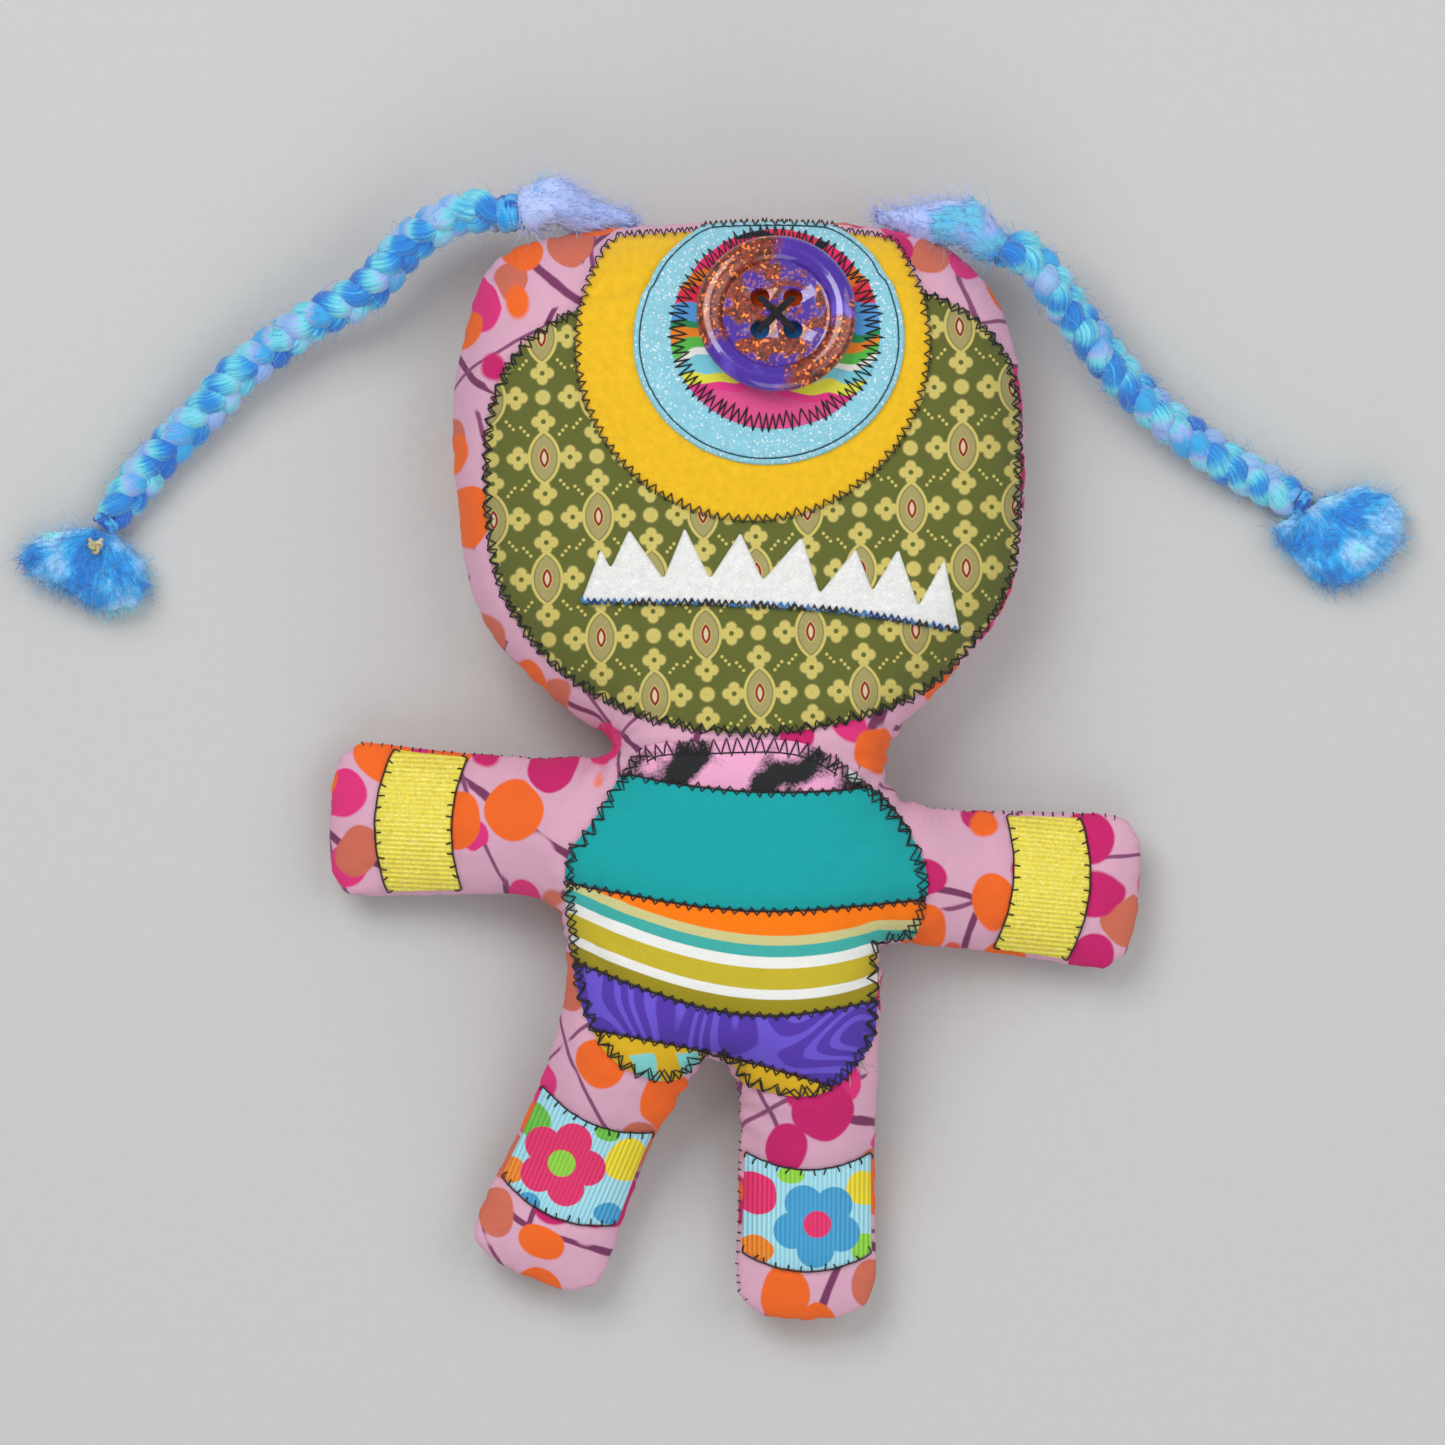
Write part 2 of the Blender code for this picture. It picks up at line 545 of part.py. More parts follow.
def chest_pieces(front, torso, seam_cut):
    """Pieces of cloth that fill one outline, edge to edge; the crotch parts the lowest in two."""
    outline = [
        torso.point(CHEST_RISE - y * CHEST_LENGTH, -(CHEST_SHIFT + x * CHEST_WIDTH / 2))
        for x, y in CHEST_OUTLINE
    ]
    outline = smooth_curve(outline, FRONT_STEP / 2, True)[::-1]
    chest_cut = upright_walls("chest_cut", outline)
    reach = 0.6 * CHEST_WIDTH
    joins = [(-1, -1, -1), *CHEST_JOINS, (2, 2, 2)]
    curves = []
    for drops in joins:
        line = [
            torso.point(CHEST_RISE - drop * CHEST_LENGTH, -(CHEST_SHIFT + x))
            for x, drop in zip((-reach, 0, reach), drops)
        ]
        curves.append(smooth_curve(line, FRONT_STEP, False))
    names = ("pink", "teal", "striped", "purple", "yellow")
    half_gap = np.array((0, CLEARANCE / 2))
    for name, above, below in zip(names, curves, curves[1:]):
        strip = np.concatenate((below + half_gap, (above - half_gap)[::-1]))
        cuts = [chest_cut, upright_walls(f"chest_{name}_cut", strip), seam_cut]
        if name != "yellow":
            front.layer(f"chest_patch_{name}", outline, CLEARANCE, CLOTH, cuts)
            continue
        for side, sign in (("left", 1), ("right", -1)):
            inner, outer = CROTCH_SHIFT + sign * CLEARANCE, sign * CHEST_WIDTH
            box = [(0, inner), (0, outer), (-2 * CHEST_LENGTH, outer), (-2 * CHEST_LENGTH, inner)]
            half = [torso.point(up, across) for up, across in box]
            half_cut = upright_walls(f"chest_{side}_cut", half)
            front.layer(f"chest_patch_yellow_{side}", outline, CLEARANCE, CLOTH, [*cuts, half_cut])


def ribbon_band(front, name, frame, start, ribbon, bow, width, seam_cut):
    """A ribbon across a limb, bowed to its end, from start to start + ribbon along its axis."""
    reach = 0.75 * width  # past both sides, where the seam cuts it
    shares = np.linspace(-1, 1, 9)
    near = [frame.point(start - bow * (q * reach / (width / 2)) ** 2, q * reach) for q in shares]
    far = [p + frame.along * ribbon for p in near]
    edge = np.array(near + far[::-1])
    cuts = [upright_walls(name + "_cut", edge), seam_cut]
    front.layer(name, edge, CLEARANCE, RIBBON, cuts)


def bands(front, frames, seam_cut):
    arms = (
        ("arm_band_left", "left_arm", LEFT_ARM_LENGTH - LEFT_BAND_FROM_TIP - ARM_RIBBON),
        ("arm_band_right", "right_arm", RIGHT_ARM_LENGTH - RIGHT_BAND_FROM_TIP - ARM_RIBBON),
    )
    for name, limb, start in arms:
        ribbon_band(front, name, frames[limb], start, ARM_RIBBON, ARM_BAND_BOW, HAND_WIDTH, seam_cut)
    legs = (
        ("leg_band_left", "left_leg", LEFT_LEG_LENGTH - LEFT_LEG_BAND_FROM_TIP - LEG_RIBBON),
        ("leg_band_right", "right_leg", RIGHT_LEG_LENGTH - RIGHT_LEG_BAND_FROM_TIP - LEG_RIBBON),
    )
    for name, limb, start in legs:
        ribbon_band(front, name, frames[limb], start, LEG_RIBBON, LEG_BAND_BOW, FOOT_WIDTH, seam_cut)


def turned(name, profile, steps):
    """A profile of (radius, height) points turned about Z, with flat caps on both ends."""
    bm = bmesh.new()
    ring = [bm.verts.new((r, 0, z)) for r, z in profile]
    edges = [bm.edges.new(pair) for pair in zip(ring, ring[1:])]
    bmesh.ops.spin(
        bm, geom=ring + edges, cent=(0, 0, 0), axis=(0, 0, 1), angle=2 * math.pi, steps=steps,
        use_merge=True,
    )
    bmesh.ops.holes_fill(bm, edges=[e for e in bm.edges if e.is_boundary], sides=0)
    bmesh.ops.recalc_face_normals(bm, faces=bm.faces)
    mesh = bpy.data.meshes.new(name)
    bm.to_mesh(mesh)
    bm.free()
    return place(name, mesh)


def button_profile():
    """Domed back, round edge, raised rim and a dished middle."""
    radius, dish, floor = BUTTON_DIAMETER / 2, BUTTON_DISH / 2, BUTTON_THICK - BUTTON_DISH_DEPTH
    rim_mid = (radius + dish) / 2
    half_rim = (radius - dish) / 2
    points = [(BUTTON_FLAT_BACK * radius, 0), (BUTTON_FOOT * radius, 0.35 * BUTTON_BACK_ROUND)]
    points += [(0.96 * radius, 0.5 * BUTTON_THICK - BUTTON_BACK_ROUND / 2)]
    rim_base = 0.62 * BUTTON_THICK
    for k in range(7):
        turn = math.pi * k / 6
        points.append((
            rim_mid + half_rim * math.cos(turn),
            rim_base + (BUTTON_THICK - rim_base) * math.sin(turn),
        ))
    points[-1] = (dish, floor + 0.15 * BUTTON_DISH_DEPTH)
    points += [(0.8 * dish, floor)]
    return points


def seat(front, centre, radius, covered):
    """Where a stiff disc rests: the plane that fits the cloth under it, clear of all of it."""
    spots = []
    for share in (0.0, 0.35, 0.7, 1.0):
        for k in range(24):
            turn = 2 * math.pi * k / 24
            out = np.array((math.cos(turn), math.sin(turn))) * radius * share
            spots.append(front.spot(centre + out)[0])
    spots = np.array(spots)
    middle = front.spot(centre)[0]
    offsets = spots - spots.mean(0)
    slope = np.linalg.lstsq(offsets[:, :2], offsets[:, 2], rcond=None)[0]
    axis = Vector((-slope[0], -slope[1], 1)).normalized()
    highest = max((spots - middle) @ np.array(axis))
    return Vector(middle) + axis * (highest + covered), axis


def hole_places():
    half = HOLE_SPACING / 2
    return [(sx * half, sy * half) for sx, sy in ((1, 1), (-1, 1), (-1, -1), (1, -1))]


def button(front, head, covered):
    """The four-hole button, square to the cloth, and the crossed thread that holds it."""
    side, up = below_top(BUTTON_AT)
    centre = head.point(up, -side)
    base, axis = seat(front, centre, BUTTON_FOOT * BUTTON_DIAMETER / 2, covered + CLEARANCE)
    turn = Vector((0, 0, 1)).rotation_difference(axis).to_matrix().to_4x4()
    world = Matrix.Translation(base) @ turn
    ob = turned("eye_button", button_profile(), 32)
    ob.matrix_world = world
    for k, (x, y) in enumerate(hole_places()):
        bpy.ops.mesh.primitive_cylinder_add(
            vertices=14, radius=HOLE_DIAMETER / 2, depth=4 * BUTTON_THICK
        )
        cutter = bpy.context.active_object
        cutter.name = f"hole_cut_{k}"
        cutter.matrix_world = world @ Matrix.Translation((x, y, 0))
        cutter.hide_render = True
        cutter.display_type = "WIRE"
        cutting = ob.modifiers.new("hole", "BOOLEAN")
        cutting.operation = "DIFFERENCE"
        cutting.solver = "EXACT"
        cutting.object = cutter
    finish(ob)
    button_thread(world)


def button_thread(world):
    """Two strands that cross over the dish, with a leg down each hole, as one knotted piece."""
    radius = THREAD_DIAMETER / 2
    floor = BUTTON_THICK - BUTTON_DISH_DEPTH
    over = floor + CLEARANCE + radius
    leg_end = CLEARANCE
    strands = []
    for k, (x, y) in enumerate(hole_places()[:2]):
        path = [(x, y, leg_end), (x, y, 0.7 * floor), (0.8 * x, 0.8 * y, over)]
        path += [(0, 0, over + 0.3 * radius)]
        path += [(-px, -py, pz) for px, py, pz in reversed(path[:-1])]
        strands.append(strand(f"button_strand_{k}", path, radius, 8))
    first, second = strands
    join = first.modifiers.new("knot", "BOOLEAN")
    join.operation = "UNION"
    join.solver = "EXACT"
    join.object = second
    second.hide_render = True
    second.display_type = "WIRE"
    for ob in strands:
        ob.matrix_world = world
    first.name = "button_thread"
    finish(first)


def strand(name, path, radius, sides):
    """A round strand along a smooth path, as a closed mesh."""
    points = [Vector(p) for p in smooth_curve(path, 2 * radius, False)]
    bm = bmesh.new()
    rings = []
    for k, point in enumerate(points):
        ahead = points[min(k + 1, len(points) - 1)] - points[max(k - 1, 0)]
        axis = ahead.normalized()
        side = axis.cross(Vector((points[0].y, -points[0].x, 0))).normalized()
        other = axis.cross(side)
        turns = [2 * math.pi * s / sides for s in range(sides)]
        rings.append([
            bm.verts.new(point + (side * math.cos(t) + other * math.sin(t)) * radius) for t in turns
        ])
    for a, b in zip(rings, rings[1:]):
        for s in range(sides):
            bm.faces.new((a[s], a[(s + 1) % sides], b[(s + 1) % sides], b[s]))
    bm.faces.new(rings[0])
    bm.faces.new(rings[-1])
    bmesh.ops.recalc_face_normals(bm, faces=bm.faces)
    mesh = bpy.data.meshes.new(name)
    bm.to_mesh(mesh)
    bm.free()
    return place(name, mesh)


def cord(name, route, diameter):
    """A free cord: a tube along the smooth curve through its route. Returns its points."""
    points = [Vector(p) for p in smooth_curve(route, 2 * diameter, False)]
    curve = bpy.data.curves.new(name, "CURVE")
    curve.dimensions = "3D"
    curve.bevel_depth = diameter / 2
    curve.bevel_resolution = 3
    curve.use_fill_caps = True
    line = curve.splines.new("POLY")
    line.points.add(len(points) - 1)
    for spot, point in zip(line.points, points):
        spot.co = (*point, 1)
    finish(place(name, curve))
    return points


def along_axis(ob, base, direction):
    """Stands a piece that was made along +Z on a base point, along a direction."""
    turn = Vector((0, 0, 1)).rotation_difference(Vector(direction).normalized())
    ob.matrix_world = Matrix.Translation(Vector(base)) @ turn.to_matrix().to_4x4()
    return ob


def bead(name, base, direction, diameter, length):
    """A wrap of thread round yarn: a short barrel with rounded ends."""
    radius = diameter / 2
    profile = [(0.7 * radius, 0), (radius, 0.3 * length), (radius, 0.7 * length)]
    profile += [(0.7 * radius, length)]
    return finish(along_axis(turned(name, profile, 16), base, direction))


def tuft(name, base, heading, length, width):
    """Loose yarn ends: round where they are tied, fanned out flat on the ground at the end.

    Returns the top of its first bulge.
    """
    bm = bmesh.new()
    rings = []
    tops = []
    sides = 14
    forward = Vector((math.cos(heading), math.sin(heading), 0))
    side = Vector((-forward.y, forward.x, 0))
    for t, spread, tall in TUFT_SHAPE:
        half_wide = (TUFT_NECK + (width - TUFT_NECK) * spread) / 2
        half_tall = (TUFT_NECK + (TUFT_HEIGHT - TUFT_NECK) * tall) / 2
        lift = base.z + t * (half_tall + CLEARANCE - base.z)
        centre = Vector((base.x, base.y, lift)) + forward * length * t
        tops.append(centre + Vector((0, 0, half_tall)))
        ring = []
        for k in range(sides):
            turn = 2 * math.pi * k / sides
            up = Vector((0, 0, math.sin(turn) * half_tall))
            ring.append(bm.verts.new(centre + side * math.cos(turn) * half_wide + up))
        rings.append(ring)
    for a, b in zip(rings, rings[1:]):
        for k in range(sides):
            bm.faces.new((a[k], a[(k + 1) % sides], b[(k + 1) % sides], b[k]))
    bm.faces.new(rings[0])
    bm.faces.new(rings[-1])
    bmesh.ops.recalc_face_normals(bm, faces=bm.faces)
    mesh = bpy.data.meshes.new(name)
    bm.to_mesh(mesh)
    bm.free()
    finish(place(name, mesh))
    return tops[1]


def route_points(route, shift):
    """A route in metres, in the doll's frame."""
    return [Vector((x * MM, y * MM, z * MM)) + shift for x, y, z in route]


def braid(side, route, hank_start, tuft_size, shift):
    """Hank off the head's seam, plaited cord, tie and tuft, each laid end to end."""
    points = cord(f"braid_{side}", route_points(route, shift), BRAID_DIAMETER)
    start_way = (points[0] - points[1]).normalized()
    hank_end = points[0] + start_way * 2 * CLEARANCE
    if side == "left":
        bead("hank_wrap_left", hank_end, start_way, WRAP_DIAMETER, WRAP_LENGTH)
        hank_end = hank_end + start_way * (WRAP_LENGTH + 2 * CLEARANCE)
    middle = hank_end + start_way * HANK_LEAD
    cord(f"hank_{side}", [hank_end, middle, *hank_start], HANK_DIAMETER)
    end_way = (points[-1] - points[-2]).normalized()
    tie_at = points[-1] + end_way * CLEARANCE
    bead(f"tie_{side}", tie_at, end_way, TIE_DIAMETER, TIE_LENGTH)
    length, width, heading = tuft_size
    fan = Vector((math.cos(heading), math.sin(heading), 0))
    turned_off = TUFT_NECK / 2 * math.sqrt(max(0.0, 1 - fan.dot(end_way) ** 2))
    neck = tie_at + end_way * TIE_LENGTH + fan * (CLEARANCE + turned_off)
    return tuft(f"tuft_{side}", neck, heading, length, width)


def hair(head, outline, shift):
    """Both braids, and the thread knot on the left one's tuft."""
    beside = HANK_DIAMETER / 2 + 2 * CLEARANCE
    starts = {}
    for side, sign, share in (("left", 1, LEFT_HANK_SHARE), ("right", -1, RIGHT_HANK_SHARE)):
        runs = []
        for k in (2, 1, 0):
            across = sign * HEAD_WIDTH * (share + HANK_STEP * k)
            runs.append(top_edge(head, outline, across, beside))
        starts[side] = runs
    knot_seat = braid("left", LEFT_ROUTE, starts["left"], LEFT_TUFT, shift)
    braid("right", RIGHT_ROUTE, starts["right"], RIGHT_TUFT, shift)
    bpy.ops.mesh.primitive_uv_sphere_add(segments=14, ring_count=8, radius=KNOT_DIAMETER / 2)
    knot = bpy.context.active_object
    knot.name = "knot_left"
    knot.location = knot_seat + Vector((0, 0, KNOT_DIAMETER / 2 + CLEARANCE))
    finish(knot)


def top_edge(head, outline, across, beside):
    """A point beside the head's top seam, level with the seam, at a distance from its axis."""
    along, side = head.local(outline)
    upper = along > 0.6 * HEAD_HEIGHT
    order = np.argsort(side[upper])
    up = np.interp(across, side[upper][order], along[upper][order])
    x, y = head.point(up + beside, across)
    return Vector((x, y, SEAM_HEIGHT))


def main():
    clear_scene()
    frames = pattern_frames()
    raw = body_outline(frames)
    centre = (raw.min(0) + raw.max(0)) / 2
    for frame in frames.values():
        frame.origin = frame.origin - centre
    outline = raw - centre
    shift = Vector((-centre[0], -centre[1], 0))
    verts, faces = stuffed_body(outline, frames)
    finish(bpy.data.objects["stuffed_body"])
    front = Front(verts, faces)
    seam_cut = upright_walls("seam_cut", inset_outline(outline, SEAM_MARGIN))
    felt_cut = upright_walls("felt_cut", inset_outline(outline, FELT_MARGIN))
    covered = face_pieces(front, frames["head"], seam_cut, felt_cut)
    chest_pieces(front, frames["torso"], seam_cut)
    bands(front, frames, seam_cut)
    button(front, frames["head"], covered)
    hair(frames["head"], outline, shift)


main()
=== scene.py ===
"""Looks of the hand-sewn one-eyed monster doll, lying on its back.

The stuffed body is remeshed from its solid, swelled between its seams as cloth, and puckered
along every line of stitches. Each appliqué is draped over it again as fine cloth or felt, and
the stitches, plaited wool and button are modelled on top. Lengths are in metres unless a
name ends in _MM or a comment says so; patterns are worked out in millimetres.
"""

import json
import math

import bmesh
import bpy
import numpy as np
from mathutils import Matrix, Vector, noise
from mathutils.bvhtree import BVHTree
from mathutils.geometry import delaunay_2d_cdt
from mathutils.kdtree import KDTree

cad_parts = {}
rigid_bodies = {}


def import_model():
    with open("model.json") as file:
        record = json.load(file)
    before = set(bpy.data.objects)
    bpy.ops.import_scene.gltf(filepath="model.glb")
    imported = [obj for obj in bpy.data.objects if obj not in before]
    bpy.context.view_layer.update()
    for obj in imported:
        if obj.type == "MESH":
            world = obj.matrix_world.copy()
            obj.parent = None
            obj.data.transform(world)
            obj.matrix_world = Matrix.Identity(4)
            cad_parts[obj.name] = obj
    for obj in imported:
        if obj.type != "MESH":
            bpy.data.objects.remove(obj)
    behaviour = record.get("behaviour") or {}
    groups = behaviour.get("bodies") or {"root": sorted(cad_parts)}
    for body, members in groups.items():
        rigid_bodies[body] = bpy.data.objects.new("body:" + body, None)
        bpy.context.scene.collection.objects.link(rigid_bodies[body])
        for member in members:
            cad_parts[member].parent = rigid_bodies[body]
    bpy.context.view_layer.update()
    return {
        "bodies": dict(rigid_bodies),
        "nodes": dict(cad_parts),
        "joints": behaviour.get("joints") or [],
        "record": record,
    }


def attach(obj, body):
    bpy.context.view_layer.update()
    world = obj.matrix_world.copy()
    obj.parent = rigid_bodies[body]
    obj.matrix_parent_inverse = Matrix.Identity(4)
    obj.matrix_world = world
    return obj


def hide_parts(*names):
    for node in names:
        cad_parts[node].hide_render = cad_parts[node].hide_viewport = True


MM = 0.001
TURN = 2 * math.pi

# Camera: straight down, far off, over a square of this size at the height of the front
VIEW_SIZE = 361.25 * MM
VIEW_CENTRE = (-3.1 * MM, 12.25 * MM)
VIEW_PLANE = 25 * MM
CAMERA_HEIGHT = 2.4
SENSOR = 36.0
FLOOR_HALF = 1.6

# Lamps: name, place, width and power; each looks at the origin
LAMPS = (
    ("key", (-0.55, 0.75, 1.25), 0.9, 12.6),
    ("fill", (0.9, 0.3, 1.1), 1.2, 6.0),
    ("front", (0.1, -1.1, 1.0), 1.2, 5.6),
)

# The doll's own axes, as in the part: origin in metres and angle of the axis
NECK = (4.966 * MM, 5.531 * MM)
AXES = {
    "head": (NECK, math.pi / 2 + math.radians(3.0)),
    "torso": ((-3.034 * MM, 5.531 * MM), math.pi / 2),
    "left_arm": ((-39.034 * MM, -14.469 * MM), math.radians(177.5)),
    "right_arm": ((32.966 * MM, -24.469 * MM), math.radians(-5.5)),
    "left_leg": ((-27.334 * MM, -68.219 * MM), math.radians(-113)),
    "right_leg": ((18.466 * MM, -68.219 * MM), math.radians(-90.5)),
}

# Body
VOXEL = 2.6 * MM
SWELL = 4.0  # pressure in the cloth simulation
SWELL_FRAMES = 20
SWELL_CAP = 2.2 * MM
SEAM_PIN = 3.0 * MM
SEAM_GROOVE = 0.5 * MM
RIM_REACH = 5.0 * MM
PUCKER = 0.45 * MM
STITCH_DENT = 0.55 * MM
SEAM_STEP_MM = 0.8
SMALL_WAVE_MM = 3.6  # length of the puckers along the seam
MIDDLE = 22 * MM  # height of the bag's widest level
RAY_FROM = 1.0  # a height over everything

# Folds that spread from the inner corners, at these places in millimetres: neck, armpits, crotch
FOLD_CORNERS = ((-31, 7), (41, 3), (-38, -37), (40, -45), (-4, -82))
FOLD = 0.55 * MM
FOLD_REACH = 15 * MM

# Cloth, felt and ribbon
CLOTH = 0.5 * MM
FELT = 1.5 * MM
LIFT = 0.06 * MM
FINE_STEP = 1.7 * MM
WELD = 2e-6  # points of a solid nearer than this are one

# Thread: its radius, and how loosely it is sewn as a share of the stitch
STITCH_THIN = 0.2 * MM
STITCH_THICK = 0.24 * MM
STITCH_FINE = 0.14 * MM
LOOSE = 0.12

# Where the seam's stitches show, as x from, x to, y from and y to in metres: both arms' upper
# sides and the right leg's inner side
SEAM_SHOWS = (
    (-0.094, -0.038, -0.012, 0.012), (0.046, 0.096, -0.022, 0.0), (0.0, 0.012, -0.134, -0.075),
)

# Ribbon bands: the limb of each, and where it starts along the limb in millimetres
BANDS = {
    "arm_band_left": ("left_arm", 32.0),
    "arm_band_right": ("right_arm", 37.0),
    "leg_band_left": ("left_leg", 21.6),
    "leg_band_right": ("right_leg", 31.6),
}

# Braids: routes from the neck, in millimetres, as in the part
LEFT_ROUTE = (
    (-64, 133.5, 23), (-73, 134.5, 22), (-86, 127, 19), (-98, 114.5, 15.5), (-114, 106, 12),
    (-129.5, 94.5, 9.5), (-139.5, 84, 7.6), (-152, 71.5, 6), (-162, 58.5, 5.4),
)
RIGHT_ROUTE = (
    (61.5, 125, 23), (69, 123, 22), (78.5, 111, 17.5), (89.5, 97, 13), (103, 83.5, 9.5),
    (117, 73.5, 7), (131, 65.5, 5.6), (136.5, 63, 5.4),
)
PLAIT_PERIOD = 17.5 * MM
STRAND_RADIUS = 3.2 * MM
PLAIT_SWAY = 2.4 * MM
PLAIT_DEPTH = 1.6 * MM
PLAIT_LEAN = math.radians(42)
FIBRE = 0.045 * MM  # radius of a loose fibre
FIBRE_POINTS = 6
FLEECE_VOXEL = 0.8 * MM

# Button
BUTTON_DIAMETER = 39.5 * MM
BUTTON_THICK = 5.2 * MM
BUTTON_DISH = 26.5 * MM
BUTTON_DISH_DEPTH = 2.1 * MM
HOLE_DIAMETER = 4.0 * MM
HOLE_SPACING = 8.2 * MM


def linear(code):
    """The linear colour of an #RRGGBB code."""
    parts = [int(code[k : k + 2], 16) / 255 for k in (1, 3, 5)]
    return tuple(c / 12.92 if c <= 0.04045 else ((c + 0.055) / 1.055) ** 2.4 for c in parts)


class Val:
    """A number that a material's nodes work out."""

    def __init__(self, paint, socket):
        self.paint, self.socket = paint, socket

    def op(self, kind, *rest, clamp=False):
        return self.paint.math(kind, self, *rest, clamp=clamp)

    def __add__(self, other):
        return self.op("ADD", other)

    def __sub__(self, other):
        return self.op("SUBTRACT", other)

    def __rsub__(self, other):
        return self.paint.math("SUBTRACT", other, self)

    def __mul__(self, other):
        return self.op("MULTIPLY", other)

    def __truediv__(self, other):
        return self.op("DIVIDE", other)

    __radd__ = __add__
    __rmul__ = __mul__

    def abs(self):
        return self.op("ABSOLUTE")

    def sin(self):
        return self.op("SINE")

    def fract(self):
        return self.op("FRACT")

    def most(self, other):
        return self.op("MAXIMUM", other)

    def least(self, other):
        return self.op("MINIMUM", other)

    def below(self, edge, soft=0.1):
        """1 where the number is under the edge and 0 over it, with a soft step."""
        return self.op("MULTIPLY_ADD", -0.5 / soft, edge * 0.5 / soft + 0.5, clamp=True)

    def above(self, edge, soft=0.1):
        return self.op("MULTIPLY_ADD", 0.5 / soft, 0.5 - edge * 0.5 / soft, clamp=True)


class Paint:
    """A material whose nodes are written as sums of Vals."""

    def __init__(self, name, rough=0.9, sheen=0.06, specular=0.2, coat=0.0):
        self.material = bpy.data.materials.new(name)
        self.material.use_nodes = True
        self.tree = self.material.node_tree
        self.shader = self.tree.nodes["Principled BSDF"]
        constants = {
            "Roughness": rough, "Sheen Weight": sheen, "Sheen Roughness": 0.5, "Coat Weight": coat,
            "Coat Roughness": 0.03, "Specular IOR Level": specular,
        }
        for key, value in constants.items():
            self.shader.inputs[key].default_value = value

    def node(self, kind, **settings):
        made = self.tree.nodes.new(kind)
        for key, value in settings.items():
            setattr(made, key, value)
        return made

    def feed(self, target, value):
        if isinstance(value, Val):
            self.tree.links.new(value.socket, target)
        elif isinstance(value, bpy.types.NodeSocket):
            self.tree.links.new(value, target)
        elif isinstance(value, tuple) and len(value) == 3 and target.type == "RGBA":
            target.default_value = (*value, 1)
        else:
            target.default_value = value

    def math(self, kind, *values, clamp=False):
        made = self.node("ShaderNodeMath", operation=kind, use_clamp=clamp)
        for target, value in zip(made.inputs, values):
            self.feed(target, value)
        return Val(self, made.outputs[0])

    def place(self):
        """Where the point is on the doll, in millimetres."""
        scaled = self.node("ShaderNodeVectorMath", operation="SCALE")
        coords = self.node("ShaderNodeTexCoord")
        self.feed(scaled.inputs[0], coords.outputs["Object"])
        scaled.inputs["Scale"].default_value = 1000
        return self.split(scaled.outputs[0])

    def cloth(self):
        """Where the point is on the flat piece of cloth, in millimetres."""
        return self.split(self.node("ShaderNodeAttribute", attribute_name="cloth").outputs["Vector"])

    def split(self, socket):
        apart = self.node("ShaderNodeSeparateXYZ")
        self.feed(apart.inputs[0], socket)
        return [Val(self, out) for out in apart.outputs]

    def vector(self, x, y, z=0.0):
        joined = self.node("ShaderNodeCombineXYZ")
        for target, value in zip(joined.inputs, (x, y, z)):
            self.feed(target, value)
        return joined.outputs[0]

    def noise(self, x, y, z=0.0, size=10.0, detail=2.0, distortion=0.0):
        """Smooth noise about 0.5, with features of that size in millimetres."""
        made = self.node("ShaderNodeTexNoise")
        self.feed(made.inputs["Vector"], self.vector(x, y, z))
        made.inputs["Scale"].default_value = 1 / size
        made.inputs["Detail"].default_value = detail
        made.inputs["Distortion"].default_value = distortion
        return Val(self, made.outputs["Fac"])

    def cells(self, x, y, z=0.0, size=10.0, random=1.0):
        """Scattered cells: distance in millimetres, and three random numbers for each cell."""
        made = self.node("ShaderNodeTexVoronoi", feature="F1")
        self.feed(made.inputs["Vector"], self.vector(x, y, z))
        made.inputs["Scale"].default_value = 1 / size
        made.inputs["Randomness"].default_value = random
        return Val(self, made.outputs["Distance"]) * size, self.split(made.outputs["Color"])

    def length(self, x, y):
        return self.math("SQRT", x * x + y * y)

    def mix(self, factor, under, over):
        made = self.node("ShaderNodeMix", data_type="RGBA")
        self.feed(made.inputs[0], factor)
        self.feed(made.inputs[6], under)
        self.feed(made.inputs[7], over)
        return made.outputs[2]

    def over(self, colour, *layers):
        """The colour with each (share, colour code) laid over it."""
        for share, code in layers:
            colour = self.mix(share, colour, linear(code))
        return colour

    def steps(self, colour, level, soft, codes):
        """The colour with each (edge, colour code) laid over it where the level is above the edge."""
        return self.over(colour, *((level.above(edge, soft), code) for edge, code in codes))

    def base(self, colour):
        self.feed(self.shader.inputs["Base Color"], colour)

    def dim(self, colour, factor):
        """The colour times a Val near 1."""
        made = self.node("ShaderNodeVectorMath", operation="SCALE")
        self.feed(made.inputs[0], colour)
        self.feed(made.inputs["Scale"], factor)
        return made.outputs[0]

    def bump(self, height, depth_mm, strength=1.0):
        made = self.node("ShaderNodeBump")
        made.inputs["Strength"].default_value = strength
        made.inputs["Distance"].default_value = depth_mm * MM
        self.feed(made.inputs["Height"], height)
        self.feed(self.shader.inputs["Normal"], made.outputs["Normal"])

    def rough(self, value):
        self.feed(self.shader.inputs["Roughness"], value)

    def weave(self, u, v, pitch=0.5):
        """Height of a plain weave, from 0 to 1."""
        return (u * (TURN / pitch)).sin() * (v * (TURN / pitch)).sin() * 0.5 + 0.5


